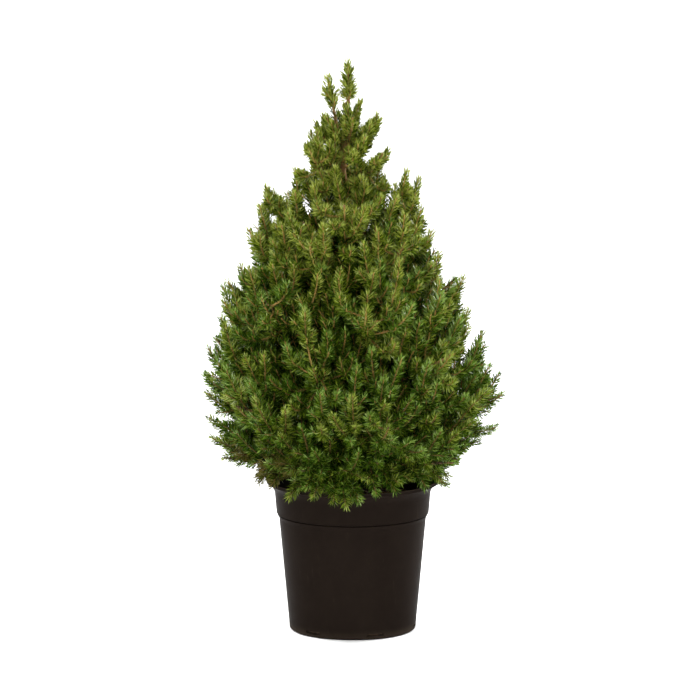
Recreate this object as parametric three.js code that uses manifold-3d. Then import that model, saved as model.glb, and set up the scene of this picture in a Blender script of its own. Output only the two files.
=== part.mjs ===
// A dwarf alberta spruce in a round nursery pot: pot, potting mix, trunk, main boughs and masses of needles.
// Millimetres, +Z up. The origin is the centre of the pot's flat underside. -Y is the front, +X the right.
import * as THREE from "three";
import { mergeVertices } from "three/addons/utils/BufferGeometryUtils.js";
import Module from "manifold-3d";

const wasm = await Module();
wasm.setup();

// ---- Pot ----
const POT_HEIGHT = 174;
const RIM_RADIUS = 98.5;
const RIM_BEAD = 4; // height of the bead round the mouth
const RIM_LIP = 1; // how far the bead stands out from the flare under it
const RIM_ROUND = 0.8; // rounding of the bead's edges
const COLLAR_TOP_RADIUS = 89; // under the flared rim
const COLLAR_TOP_HEIGHT = 158;
const FLARE_BEND = { out: 1, down: 4 }; // where the flare turns, out from the collar and down from the bead
const FLARE_STEPS = 3;
const COLLAR_FOOT_RADIUS = 87.2; // where the collar ends
const COLLAR_FOOT_HEIGHT = 135.5;
const WALL_TOP_RADIUS = 84; // under the collar's step
const WALL_TOP_HEIGHT = 129.5;
const BASE_RADIUS = 72.3;
const FOOT_ROUND = 3.5; // rounding between wall and underside
const FLOOR_ROUND = 2; // the same inside
const WALL = 1.8;
const POT_SIDES = 32;
const DRAIN_SLOTS = 6;
const DRAIN_SLOT = { width: 20, height: 3.4, floor: 3.8, firstAzimuth: 51 };

// ---- Potting mix and trunk ----
const GAP = 0.3; // clearance between neighbours that touch
const MIX_HEIGHT = 150;
const TRUNK_FOOT = MIX_HEIGHT + GAP;
const TRUNK_TIP = 606;
const TRUNK_FOOT_RADIUS = 9;
const TRUNK_TIP_RADIUS = 1.9;
const TRUNK_TAPER_POWER = 0.85;
const ROOT_FLARE = 4.5; // how much wider the trunk stands at the mix
const ROOT_FLARE_HEIGHT = 14;
const TRUNK_SIDES = 8;
const TRUNK_RINGS = 14;
const TRUNK_BENDS = [
  [0, 0, TRUNK_FOOT],
  [0, 0, 180],
  [-4, 3, 290],
  [-11, 4, 390],
  [-12, 1, 510],
  [-5, 0, TRUNK_TIP],
];

// ---- Crown ----
const CROWN_TIP = 656;
// Radius of the crown's outline round the trunk at each height, from the hanging lowest tips to the leader.
const CROWN_OUTLINE = [
  [160, 110],
  [192, 127],
  [240, 161],
  [285, 171],
  [325, 163],
  [341, 150],
  [397, 142],
  [430, 112],
  [505, 98],
  [525, 67],
  [591, 43],
  [640, 24],
  [CROWN_TIP, 7],
];
// Shoots turn from slightly hanging at the crown's foot to nearly upright at its tip.
const LOWEST_RISE = -14;
const RISE_GAINED = 92;
const RISE_FOOT = 165;
const RISE_SPAN = 450;
const RISE_POWER = 0.65;
const TURN_UP = 0.4; // how much of a limb's length follows that rise

// Whorls from the top down. foot and tip are heights on the trunk and at the limbs' ends.
const WHORLS = [
  { count: 2, foot: 560, tip: 600, reach: 37, first: 280, bough: false },
  { count: 3, foot: 515, tip: 560, reach: 52, first: 330, bough: false },
  { count: 4, foot: 448, tip: 508, reach: 88, first: 0, bough: false },
  { count: 5, foot: 386, tip: 455, reach: 104, first: 36, bough: false },
  { count: 5, foot: 322, tip: 400, reach: 138, first: 0, bough: true },
  { count: 5, foot: 264, tip: 333, reach: 158, first: 36, bough: true },
  { count: 5, foot: 212, tip: 268, reach: 166, first: 0, bough: true },
  { count: 5, foot: 180, tip: 205, reach: 142, first: 36, bough: true },
];
const WHORL_STAGGER = 4; // between the feet of one whorl's limbs
const SECOND_LEADER = { foot: 532, tip: 639, reach: 24, azimuth: 188, bare: 0.62 };
const LEADER_BARE = 0.06; // share of the leader without needles
const AZIMUTH_SCATTER = 9;
const HEIGHT_SCATTER = 9;
const REACH_SCATTER = 0.07;
const WHORL_SEED = 11;
const TIPS_SEED = 5;

// ---- Limbs and twigs ----
const BARE_SHARE = 0.27; // share of a limb's length that is bare bough
const BOUGH_ROOT_RADIUS = 4.4;
const BOUGH_END_RADIUS = 3;
const BOUGH_SIDES = 5;
const BOUGH_RINGS = 2;
const STEM_RADIUS = 3; // bare foot of a mass's stem
const STEM_JOINTS = 2; // straight pieces in that bare foot
const STEM_PLACES = 8; // steps along a stem for finding the place nearest to a tip
const TWIG_RADIUS = 1;
const TWIG_ANGLE = 52; // between stem and side twig, in degrees
const TWIG_ROOTS = { onTrunk: [0.2, 0.93], onBough: [0.1, 0.93] }; // stretch of a stem that bears side twigs
const GOLDEN_ANGLE = 137.508;

// ---- Sprays of needles ----
// Radius of a spray at each height: large and few low down, small at the top.
const SPRAY_RADIUS = [
  [430, 20],
  [610, 9.5],
];
const SPRAY_LENGTH = 2.2; // in spray radii
const SHORTEST_BARE = 0.15; // least share of a twig without needles
const SPRAYS_APART = 2.4; // between the tips of neighbours, in spray radii
const TIP_CELL = 0.87; // area that a tip takes up, in squares of its distance to the next
const STEM_TIP_ROOM = 1.2; // least distance from a tip to its stem's own tip, in spray radii
const HIGHEST_SPRAY = 612; // above it stand only the leaders
const LOWEST_SPRAY = 165;
const TIP_SCATTER = 0.13; // how far tips stand back from the outline
const ROW_STEP = 13; // between rows of needles
const CORNERS = 6; // every other corner of a row is a needle
const NEEDLE_LEAN = 0.7; // how far a needle leans forward, as a share of its reach
const CORE_SHARE = 0.3; // slim core of a spray, as a share of its radius
const FULLNESS = { foot: 0.62, rise: 1.8, fall: 2.3 }; // a spray's width along it, as shares of its radius
const SIZES_TRIED = [1, 0.82, 0.66]; // shares of the full radius, until a spray is clear of the other masses
const SPACE_MARGIN = 0.4; // between the sprays of different masses
// Balls that stand for a spray or a limb while its space is tested.
const SPRAY_BALLS = 10;
const BALL_FIT = 1.12; // ball radius over spray radius
const TIP_BALL = 2;
const NEEDLES_BEGIN = -0.05; // how far back from a spray's foot a full ball is already needed
const LIMB_BALLS_APART = 4;
const LIMB_BALL_MARGIN = 1;

/** Seeded numbers between low and high. */
function seededDraws(seed) {
  let state = Math.imul(seed, 2654435761) >>> 0;
  return (low, high) => {
    state = (Math.imul(state, 1664525) + 1013904223) >>> 0;
    return low + ((high - low) * state) / 2 ** 32;
  };
}

/** Straight-line reading of a list of [input, output] pairs. */
function between(pairs, input) {
  const next = Math.max(1, pairs.findIndex(([x]) => x >= input));
  const [x0, y0] = pairs[next - 1];
  const [x1, y1] = pairs[next];
  const share = THREE.MathUtils.clamp((input - x0) / (x1 - x0), 0, 1);
  return y0 + (y1 - y0) * share;
}

const radians = THREE.MathUtils.degToRad;
const outward = (azimuth) => new THREE.Vector3(Math.cos(azimuth), Math.sin(azimuth), 0);

/** The way a shoot at this point of the crown grows. */
function growth(point) {
  const share = THREE.MathUtils.clamp((point.z - RISE_FOOT) / RISE_SPAN, 0, 1);
  const rise = radians(LOWEST_RISE + RISE_GAINED * share ** RISE_POWER);
  const way = outward(Math.atan2(point.y, point.x)).multiplyScalar(Math.cos(rise));
  return way.setZ(Math.sin(rise));
}

// ---- Solids ----
function solidOf(geometry) {
  geometry.deleteAttribute("normal");
  geometry.deleteAttribute("uv");
  const merged = mergeVertices(geometry, 1e-4);
  return new wasm.Manifold(
    new wasm.Mesh({
      numProp: 3,
      vertProperties: merged.attributes.position.array,
      triVerts: new Uint32Array(merged.index.array),
    }),
  );
}

/** The largest body of a solid, without loose scraps and with sealed hollows filled. */
function largestBody(solid) {
  return solid.decompose().sort((a, b) => b.volume() - a.volume())[0];
}

function geometryOf(solid) {
  const { vertProperties, triVerts } = solid.getMesh();
  return new THREE.BufferGeometry()
    .setAttribute("position", new THREE.BufferAttribute(vertProperties, 3))
    .setIndex(new THREE.BufferAttribute(triVerts, 1));
}

/** Rings of corners round a curve. A station gives its place on the curve, and each corner its radius. */
function ringsAlong(curve, stations, corners) {
  let across = new THREE.Vector3(0.31, 0.17, 0.93); // a way that no limb goes
  return stations.map(({ at, radiusOf, lean = 0 }) => {
    const along = curve.getTangent(at);
    across = across.clone().addScaledVector(along, -across.dot(along)).normalize();
    const over = along.clone().cross(across);
    return Array.from({ length: corners }, (_, corner) => {
      const angle = (2 * Math.PI * corner) / corners;
      const radius = radiusOf(corner);
      const forward = lean * Math.max(0, radius - radiusOf(corner + 1));
      return curve
        .getPoint(at)
        .addScaledVector(along, forward)
        .addScaledVector(across, radius * Math.cos(angle))
        .addScaledVector(over, radius * Math.sin(angle));
    });
  });
}

/** A closed skin over rings, flat at its foot and pointed or flat at its end. */
function skin(rings, tip) {
  const corners = rings[0].length;
  const points = rings.flat();
  const faces = [];
  const face = (...abc) => {
    const [a, b, c] = abc.map((n) => points[n]);
    if (Math.min(a.distanceTo(b), b.distanceTo(c), c.distanceTo(a)) > 1e-6) faces.push(...abc);
  };
  for (let ring = 0; ring + 1 < rings.length; ring++) {
    for (let corner = 0; corner < corners; corner++) {
      const a = ring * corners + corner;
      const b = ring * corners + ((corner + 1) % corners);
      const [d, c] = [a + corners, b + corners];
      // Four corners are split along the shorter diagonal.
      if (points[a].distanceTo(points[c]) < points[b].distanceTo(points[d])) {
        face(a, b, c);
        face(a, c, d);
      } else {
        face(a, b, d);
        face(b, c, d);
      }
    }
  }
  const last = points.length - corners;
  for (let corner = 1; corner + 1 < corners; corner++) face(0, corner + 1, corner);
  if (tip) {
    points.push(tip);
    for (let corner = 0; corner < corners; corner++) {
      face(last + corner, last + ((corner + 1) % corners), points.length - 1);
    }
  } else {
    for (let corner = 1; corner + 1 < corners; corner++) face(last, last + corner, last + corner + 1);
  }
  return new THREE.BufferGeometry().setFromPoints(points).setIndex(faces);
}

/** A tapering limb along a curve, cut flat at both ends. */
function limbGeometry(curve, radiusAt, sides, count) {
  const stations = Array.from({ length: count + 1 }, (_, ring) => {
    const at = ring / count;
    return { at, radiusOf: () => radiusAt(at) };
  });
  return skin(ringsAlong(curve, stations, sides));
}

/** A spray's width along its length: soon full, then narrowing to the tip. */
const fullness = (share) => FULLNESS.foot + FULLNESS.rise * share - FULLNESS.fall * share ** 2;

/** A spray: a three-sided twig that widens into a slim core, with needles that stand out of it all round. */
function sprayGeometry({ curve, radius, twigRadius, bare, joints }) {
  const twig = Array.from({ length: joints }, (_, joint) => {
    return { at: (bare * joint) / joints, radiusOf: () => twigRadius };
  });
  const rows = Math.max(2, Math.round(((1 - bare) * curve.getLength()) / ROW_STEP));
  const stations = Array.from({ length: rows }, (_, row) => {
    const share = row / rows;
    const reach = radius * fullness(share);
    const core = Math.max(twigRadius, CORE_SHARE * reach);
    const radiusOf = (corner) => ((corner + row) % 2 ? core : reach);
    return { at: bare + (1 - bare) * share, lean: NEEDLE_LEAN, radiusOf };
  });
  const thin = ringsAlong(curve, twig, CORNERS / 2).map((ring) => ring.flatMap((point) => [point, point]));
  const rings = [...thin, ...ringsAlong(curve, stations, CORNERS)];
  return skin(rings, curve.getPoint(1));
}

// ---- Pot and potting mix ----
function rimFlare() {
  const start = new THREE.Vector2(COLLAR_TOP_RADIUS, COLLAR_TOP_HEIGHT);
  const end = new THREE.Vector2(RIM_RADIUS - RIM_LIP, POT_HEIGHT - RIM_BEAD);
  const bend = new THREE.Vector2(COLLAR_TOP_RADIUS + FLARE_BEND.out, end.y - FLARE_BEND.down);
  return new THREE.QuadraticBezierCurve(start, bend, end).getPoints(FLARE_STEPS);
}

/** The pot's outer side from the foot to the flare, which its inner side follows. */
function potSide() {
  const cut = (1 - Math.SQRT1_2) * FOOT_ROUND;
  return [
    new THREE.Vector2(BASE_RADIUS - FOOT_ROUND, 0),
    new THREE.Vector2(BASE_RADIUS - cut, cut),
    new THREE.Vector2(BASE_RADIUS, FOOT_ROUND),
    new THREE.Vector2(WALL_TOP_RADIUS, WALL_TOP_HEIGHT),
    new THREE.Vector2(COLLAR_FOOT_RADIUS, COLLAR_FOOT_HEIGHT),
    ...rimFlare(),
  ];
}

function turned(profile) {
  return new THREE.LatheGeometry(profile, POT_SIDES).rotateX(Math.PI / 2);
}

function potGeometry() {
  const side = potSide();
  const rim = [
    new THREE.Vector2(RIM_RADIUS, POT_HEIGHT - RIM_BEAD + RIM_ROUND),
    new THREE.Vector2(RIM_RADIUS, POT_HEIGHT - RIM_ROUND),
    new THREE.Vector2(RIM_RADIUS - RIM_ROUND, POT_HEIGHT),
    new THREE.Vector2(RIM_RADIUS - WALL, POT_HEIGHT),
  ];
  const inside = side
    .slice(2)
    .reverse()
    .map((point) => new THREE.Vector2(point.x - WALL, Math.max(point.y, WALL + FLOOR_ROUND)));
  const floor = [new THREE.Vector2(BASE_RADIUS - WALL - FLOOR_ROUND, WALL), new THREE.Vector2(0, WALL)];
  let pot = solidOf(turned([new THREE.Vector2(0, 0), ...side, ...rim, ...inside, ...floor]));
  for (let slot = 0; slot < DRAIN_SLOTS; slot++) {
    const azimuth = radians(DRAIN_SLOT.firstAzimuth) + (2 * Math.PI * slot) / DRAIN_SLOTS;
    const cut = new THREE.BoxGeometry(4 * WALL, DRAIN_SLOT.width, DRAIN_SLOT.height)
      .translate(BASE_RADIUS, 0, DRAIN_SLOT.floor + DRAIN_SLOT.height / 2)
      .rotateZ(azimuth);
    pot = pot.subtract(solidOf(cut));
  }
  return geometryOf(pot);
}

/** The potting mix, which fills the pot up to its flat top. */
function mixGeometry() {
  const inner = potSide()
    .slice(2)
    .filter((point) => point.y < MIX_HEIGHT)
    .map(({ x, y }) => new THREE.Vector2(x - WALL - GAP, Math.max(y, WALL + FLOOR_ROUND + GAP / 2)));
  const collar = [COLLAR_FOOT_HEIGHT, COLLAR_TOP_HEIGHT, COLLAR_FOOT_RADIUS, COLLAR_TOP_RADIUS];
  const top = new THREE.Vector2(THREE.MathUtils.mapLinear(MIX_HEIGHT, ...collar) - WALL - GAP, MIX_HEIGHT);
  const foot = new THREE.Vector2(BASE_RADIUS - WALL - FLOOR_ROUND - 2 * GAP, WALL + GAP);
  return turned([new THREE.Vector2(0, foot.y), foot, ...inner, top, new THREE.Vector2(0, MIX_HEIGHT)]);
}

// ---- Trunk and limbs ----
const trunkCurve = new THREE.CatmullRomCurve3(TRUNK_BENDS.map((bend) => new THREE.Vector3(...bend)));

function trunkRadius(at) {
  const height = at * (TRUNK_TIP - TRUNK_FOOT);
  const taper = THREE.MathUtils.lerp(TRUNK_FOOT_RADIUS, TRUNK_TIP_RADIUS, at ** TRUNK_TAPER_POWER);
  return taper + ROOT_FLARE * Math.exp(-height / ROOT_FLARE_HEIGHT);
}

/** The trunk's axis at a height. Above the trunk's tip it goes straight up. */
function trunkAt(height) {
  let [low, high] = [0, 1];
  while (high - low > 1e-6) {
    const middle = (low + high) / 2;
    if (trunkCurve.getPoint(middle).z < height) low = middle;
    else high = middle;
  }
  return trunkCurve.getPoint(high).setZ(height);
}

function trunkGeometry(growBy) {
  const radiusAt = (at) => trunkRadius(at) + growBy;
  return limbGeometry(trunkCurve, radiusAt, TRUNK_SIDES, TRUNK_RINGS);
}

/** A limb's centreline, from the trunk's axis to its tip, turning up at its end as the crown's shoots do. */
function limbCurve({ foot, tip, reach, azimuth }) {
  const start = trunkAt(foot);
  const end = trunkAt(tip).addScaledVector(outward(azimuth), reach);
  const bend = end.clone().addScaledVector(growth(end), -TURN_UP * start.distanceTo(end));
  return new THREE.QuadraticBezierCurve3(start, bend, end);
}

/** The part of a quadratic curve from one share of it to another. */
function partOf(curve, from, to) {
  const start = curve.getPoint(from);
  const end = curve.getPoint(to);
  const middle = curve.getPoint((from + to) / 2);
  const bend = middle.multiplyScalar(2).addScaledVector(start, -0.5).addScaledVector(end, -0.5);
  return new THREE.QuadraticBezierCurve3(start, bend, end);
}

/** Every mass of the crown with its limb, from the leader down. */
function planMasses() {
  const leaderFoot = trunkCurve.getPoint(1).setZ(TRUNK_TIP + GAP);
  const leaderTip = new THREE.Vector3(leaderFoot.x, leaderFoot.y, CROWN_TIP);
  const leaderMiddle = leaderFoot.clone().lerp(leaderTip, 0.5);
  const leader = new THREE.QuadraticBezierCurve3(leaderFoot, leaderMiddle, leaderTip);
  const second = limbCurve({ ...SECOND_LEADER, azimuth: radians(SECOND_LEADER.azimuth) });
  const masses = [
    { name: "leader", limb: leader, bare: LEADER_BARE },
    { name: "second_leader", limb: second, bare: SECOND_LEADER.bare, onTrunk: true },
  ];
  WHORLS.forEach((whorl, level) => {
    const draw = seededDraws(level + WHORL_SEED);
    for (let n = 0; n < whorl.count; n++) {
      const scatter = draw(-AZIMUTH_SCATTER, AZIMUTH_SCATTER);
      const azimuth = radians(whorl.first + (360 * n) / whorl.count + scatter);
      const tip = whorl.tip + draw(-HEIGHT_SCATTER, HEIGHT_SCATTER);
      const reach = whorl.reach * (1 + draw(-REACH_SCATTER, REACH_SCATTER));
      const foot = whorl.foot + WHORL_STAGGER * ((2 * n) % whorl.count);
      const limb = limbCurve({ foot, tip, reach, azimuth });
      masses.push({ name: `whorl${level + 1}_${n + 1}`, limb, onTrunk: !whorl.bough, onBough: whorl.bough });
    }
  });
  for (const mass of masses) {
    const start = mass.onBough ? BARE_SHARE + GAP / mass.limb.getLength() : 0;
    mass.stem = partOf(mass.limb, start, 1);
    mass.line = mass.stem.getPoints(STEM_PLACES);
    const spray = sprayOn(mass.stem, between(SPRAY_RADIUS, mass.stem.v2.z), STEM_RADIUS);
    mass.sprays = [{ ...spray, bare: mass.bare ?? spray.bare, joints: STEM_JOINTS }];
  }
  return masses;
}

/** The spray at the end of a twig, with the share of the twig's length that stays bare. */
function sprayOn(curve, radius, twigRadius) {
  const bare = Math.max(SHORTEST_BARE, 1 - (SPRAY_LENGTH * radius) / curve.getLength());
  return { curve, radius, twigRadius, bare, joints: 1 };
}

// ---- Spaces ----
/** Balls that a spray and its twig fill. */
function ballsOf({ curve, radius, twigRadius, bare }) {
  return Array.from({ length: SPRAY_BALLS }, (_, step) => {
    const at = (step + 1) / SPRAY_BALLS;
    const share = (at - bare) / (1 - bare);
    const needled = BALL_FIT * radius * fullness(Math.max(0, share));
    const reach = share < NEEDLES_BEGIN ? twigRadius : needled;
    return { point: curve.getPoint(at), reach: at < 1 ? reach : TIP_BALL };
  });
}

function clearOfPot({ point, reach }) {
  const beside = Math.max(0, Math.hypot(point.x, point.y) - RIM_RADIUS);
  const above = Math.max(0, point.z - POT_HEIGHT);
  return Math.hypot(beside, above) > reach + SPACE_MARGIN;
}

/** Whether a spray is clear of the pot and of every ball that another mass or a limb fills. */
function isFree(balls, owner, filled) {
  return balls.every((ball) => {
    if (!clearOfPot(ball)) return false;
    return filled.every((other) => {
      if (other.owner === owner) return true;
      return other.point.distanceTo(ball.point) > ball.reach + other.reach + SPACE_MARGIN;
    });
  });
}

/** Tips of the sprays, spread evenly over the crown's outline by the golden angle, from the foot up. */
function crownTips() {
  const draw = seededDraws(TIPS_SEED);
  const tips = [];
  let due = 0;
  for (let height = LOWEST_SPRAY; height < HIGHEST_SPRAY; height++) {
    const radius = between(CROWN_OUTLINE, height);
    const slant = Math.hypot(1, between(CROWN_OUTLINE, height + 1) - radius);
    const spray = between(SPRAY_RADIUS, height);
    due += (2 * Math.PI * radius * slant) / (TIP_CELL * (SPRAYS_APART * spray) ** 2);
    while (due >= 1) {
      due--;
      const azimuth = radians(GOLDEN_ANGLE * tips.length);
      const reach = radius * (1 - draw(0, TIP_SCATTER));
      tips.push({ tip: trunkAt(height).addScaledVector(outward(azimuth), reach), radius: spray });
    }
  }
  return tips;
}

/** The nearest share of a mass's stem to a point, and how far off it is. */
function nearestOnStem(point, { line }) {
  const away = line.map((place) => place.distanceTo(point));
  const distance = Math.min(...away);
  return { distance, share: away.indexOf(distance) / (line.length - 1) };
}

/** A side twig from a mass's stem to a tip, which leaves the stem aslant and ends the way the crown grows. */
function twigTo(tip, mass) {
  const { distance, share } = nearestOnStem(tip, mass);
  const behind = distance / Math.tan(radians(TWIG_ANGLE)) / mass.stem.getLength();
  const bearing = mass.onTrunk ? TWIG_ROOTS.onTrunk : TWIG_ROOTS.onBough;
  const root = mass.stem.getPoint(THREE.MathUtils.clamp(share - behind, ...bearing));
  const bend = tip.clone().addScaledVector(growth(tip), -TURN_UP * root.distanceTo(tip));
  return new THREE.QuadraticBezierCurve3(root, bend, tip);
}

/** Gives each tip to the mass with the nearest stem. A spray that would touch is made smaller, or skipped. */
function growSprays(masses, filled) {
  for (const { tip, radius } of crownTips()) {
    const distances = masses.map((mass) => nearestOnStem(tip, mass).distance);
    const mass = masses[distances.indexOf(Math.min(...distances))];
    if (mass.stem.v2.distanceTo(tip) < STEM_TIP_ROOM * radius) continue;
    for (const share of SIZES_TRIED) {
      const spray = sprayOn(twigTo(tip, mass), share * radius, TWIG_RADIUS);
      const balls = ballsOf(spray);
      if (!isFree(balls, mass.name, filled)) continue;
      mass.sprays.push(spray);
      for (const ball of balls) filled.push({ ...ball, owner: mass.name });
      break;
    }
  }
}

/** Balls along a limb, for keeping clear of it. */
function ballsAlong(curve, radiusAt, owner) {
  const count = Math.ceil(curve.getLength() / LIMB_BALLS_APART);
  return curve.getPoints(count).map((point, n) => {
    return { point, reach: radiusAt(n / count) + LIMB_BALL_MARGIN, owner };
  });
}

// ---- The plant ----
const finish = (color, roughness) => new THREE.MeshStandardMaterial({ color, roughness, metalness: 0 });
const potPlastic = finish(0x25201c, 0.5);
const pottingMix = finish(0x2b2018, 0.95);
const bark = finish(0x7a5a3c, 0.9);
const needles = finish(0x4c6420, 0.6);

const plant = new THREE.Group();
function place(name, geometry, material) {
  const mesh = new THREE.Mesh(geometry, material);
  mesh.name = name;
  plant.add(mesh);
}

place("pot", potGeometry(), potPlastic);
place("potting_mix", mixGeometry(), pottingMix);
place("trunk", trunkGeometry(0), bark);

const trunkClear = solidOf(trunkGeometry(GAP));
const masses = planMasses();
const filled = ballsAlong(trunkCurve, trunkRadius, "trunk");
const boughRadius = (at) => THREE.MathUtils.lerp(BOUGH_ROOT_RADIUS, BOUGH_END_RADIUS, at);
for (const mass of masses.filter(({ onBough }) => onBough)) {
  const bough = partOf(mass.limb, 0, BARE_SHARE);
  const solid = solidOf(limbGeometry(bough, boughRadius, BOUGH_SIDES, BOUGH_RINGS));
  place(`bough_${mass.name}`, geometryOf(solid.subtract(trunkClear)), bark);
  filled.push(...ballsAlong(bough, boughRadius, `bough_${mass.name}`));
}
for (const mass of masses) {
  for (const ball of ballsOf(mass.sprays[0])) filled.push({ ...ball, owner: mass.name });
}
growSprays(masses, filled);
for (const mass of masses) {
  const whole = wasm.Manifold.union(mass.sprays.map((spray) => solidOf(sprayGeometry(spray))));
  place(`foliage_${mass.name}`, geometryOf(largestBody(whole.subtract(trunkClear))), needles);
}

export default plant;
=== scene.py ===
"""A potted dwarf alberta spruce, grown and finished round its packed construction model."""

import functools
import math
from collections import namedtuple
from types import SimpleNamespace

import bpy
import numpy as np
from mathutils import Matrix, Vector


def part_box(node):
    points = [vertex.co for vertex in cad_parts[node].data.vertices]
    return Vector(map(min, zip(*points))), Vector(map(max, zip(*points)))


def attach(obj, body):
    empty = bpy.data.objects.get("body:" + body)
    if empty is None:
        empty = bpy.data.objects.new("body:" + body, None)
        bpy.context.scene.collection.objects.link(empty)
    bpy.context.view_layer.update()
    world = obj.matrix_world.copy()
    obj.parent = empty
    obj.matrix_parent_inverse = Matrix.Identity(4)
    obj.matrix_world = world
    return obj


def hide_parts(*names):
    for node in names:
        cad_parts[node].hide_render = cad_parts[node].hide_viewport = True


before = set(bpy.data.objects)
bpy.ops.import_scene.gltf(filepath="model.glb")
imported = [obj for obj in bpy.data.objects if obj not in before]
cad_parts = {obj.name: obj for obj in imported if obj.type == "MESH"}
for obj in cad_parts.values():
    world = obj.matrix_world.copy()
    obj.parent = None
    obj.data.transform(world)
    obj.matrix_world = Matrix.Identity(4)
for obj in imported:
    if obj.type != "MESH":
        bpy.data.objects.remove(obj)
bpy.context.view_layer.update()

bl_info = {
    "name": "Potted Spruce",
    "version": (1, 0, 0),
    "blender": (4, 5, 0),
    "location": "View3D > Sidebar > Spruce",
    "description": "Grows a dwarf alberta spruce in a nursery pot, piece by piece",
    "category": "Add Mesh",
}

# Lengths are in millimetres but for the settings. Every mesh is scaled by MM as it is made.
MM = 0.001
UP = np.array([0.0, 0.0, 1.0])
SKEW = [0.31, 0.17, 0.93]  # any slanted direction, to find one that lies across another
FULL_TURN = 2 * math.pi
GOLDEN_ANGLE = math.radians(137.508)
POT_TOP = np.array(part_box("pot")[1]) / MM
MIX_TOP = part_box("potting_mix")[1].z / MM

# ---- Trunk and crown, as in the construction model ----
# Lists of pairs are read by between(): an input, which is a height where no other is named,
# and what it gives.
GAP = 0.3
TRUNK_FOOT = MIX_TOP + GAP
TRUNK_TIP = 606
TRUNK_FOOT_RADIUS = 9
TRUNK_TIP_RADIUS = 1.9
TRUNK_TAPER_POWER = 0.85
ROOT_FLARE = 4.5
ROOT_FLARE_HEIGHT = 14
TRUNK_BENDS = [
    (0, 0, TRUNK_FOOT), (0, 0, 180), (-4, 3, 290), (-11, 4, 390), (-12, 1, 510), (-5, 0, TRUNK_TIP)
]
CROWN_TIP = 656
# Radius of the crown round the trunk.
CROWN_OUTLINE = [
    (160, 110), (192, 127), (240, 161), (285, 171), (325, 163), (341, 150), (397, 142),
    (430, 112), (505, 98), (525, 67), (591, 43), (640, 24), (CROWN_TIP, 7),
]
# A shoot's rise in degrees goes from the lowest by what is gained over a span above the foot.
LOWEST_RISE = -14
RISE_GAINED = 92
RISE_FOOT = 165
RISE_SPAN = 450
RISE_POWER = 0.65
TURN_UP = 0.4
# Whorls from the top down: how many limbs, heights of their feet and tips, reach, first azimuth,
# and whether the limbs are boughs.
WHORLS = [
    (2, 560, 600, 37, 280, False),
    (3, 515, 560, 52, 330, False),
    (4, 448, 508, 88, 0, False),
    (5, 386, 455, 104, 36, False),
    (5, 322, 400, 138, 0, True),
    (5, 264, 333, 158, 36, True),
    (5, 212, 268, 166, 0, True),
    (5, 180, 205, 142, 36, True),
]
WHORL_STAGGER = 4
SECOND_LEADER = {"foot": 532, "tip": 639, "reach": 24, "azimuth": 188, "bare": 0.62}
LEADER_BARE = 0.06
AZIMUTH_SCATTER = 9
HEIGHT_SCATTER = 9
REACH_SCATTER = 0.07
WHORL_SEED = 11
TIPS_SEED = 5
BARE_SHARE = 0.27
BOUGH_ROOT_RADIUS = 4.4
BOUGH_END_RADIUS = 3
STEM_RADIUS = 3
STEM_PLACES = 8
TWIG_RADIUS = 1
TWIG_ANGLE = math.radians(52)
TWIG_ROOTS = {True: (0.1, 0.93), False: (0.2, 0.93)}  # by whether the limb is a bough
SPRAY_RADIUS = [(430, 20), (610, 9.5)]
SPRAY_LENGTH = 2.2
SHORTEST_BARE = 0.15
SPRAYS_APART = 2.4
TIP_CELL = 0.87
STEM_TIP_ROOM = 1.2
HIGHEST_SPRAY = 612
LOWEST_SPRAY = 165
TIP_SCATTER = 0.13
FULLNESS = (0.62, 1.8, 2.3)
SIZES_TRIED = (1, 0.82, 0.66)
SPACE_MARGIN = 0.4
SPRAY_BALLS = 10
BALL_FIT = 1.12
TIP_BALL = 2
NEEDLES_BEGIN = -0.05
LIMB_BALLS_APART = 4
LIMB_BALL_MARGIN = 1
WOOD = -1  # the owner of the room that trunk and boughs take up

# ---- Twigs and shoots of the dressed plant ----
SHOOT_SEED = 21
SHOOT_RISE = [
    (165, -34), (195, -4), (226, 22), (260, 47), (310, 62), (400, 70), (500, 74), (590, 72),
    (625, 84),
]
DARK_DEPTH = 100  # inside the crown's outline, where no light comes
LIGHT_SCATTER = 0.09
# Side shoots, in shares of their reach but for the angle in degrees and the stem's radius.
SIDE_ANGLE = (40, 62)
SIDE_BEND = 0.42
SIDE_END = 0.6
SIDE_PULL = 0.38
SIDE_STEM = 0.85
SIDE_SIZE = 0.94
SIDE_SCATTER = (0.75, 1.2)
RING_TURN = 1.3  # from one ring to the next
TURN_SCATTER = 0.2
PLACE_SCATTER = 0.03
LEAST_ROOT = 0.06  # share of a twig below which no ring stands
DIMMED_BACK = 0.1
# Rings of side shoots: how far back from the tip and how long, as shares of the plume's length,
# and how many.
PLUME_RINGS = [(0.6, 0.28, 3), (0.95, 0.42, 3)]
SMALL_PLUME_RINGS = [(0.6, 0.26, 2), (0.95, 0.38, 2)]
LEADER_RINGS = [(0.35, 0.12, 3), (0.6, 0.18, 3), (0.8, 0.22, 3), (0.93, 0.26, 4)]
FULL_RINGS_RADIUS = 12  # of the smallest spray that has the full rings
PLUME_LENGTH = [(6, 26), (9.5, 36), (20, 66)]  # by the radius of the spray
PLUME_STEMS = {True: 1.3, False: 1.05}  # by whether the plume ends a limb
LEADERS_FROM = 628
LEADER_STEM = 0.8
LEADER_SIZE = 1.22
SECOND_LEADER_SIZE = 1.28
NEEDLE_SIZE = [(470, 1), (590, 0.82)]
BEARING_TRUNK = range(190, 600, 4)
LONGEST_TWIG = 100
SHORTEST_TWIG = 18
LENGTH_SCATTER = (0.78, 1.2)
# The head is slimmer and lower than its solids, and its twigs leave the trunk low enough to rise
# by a share of their reach.
HEAD_SLIM = [(580, 1), (600, 0.72)]
HEAD_DOWN = [(580, 0), (596, 6), (610, 17)]
LEADER_SIDES_DOWN = 9
HEAD_FOOT = 565
LEAST_CLIMB = 0.5
CLIMB = 0.95
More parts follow.
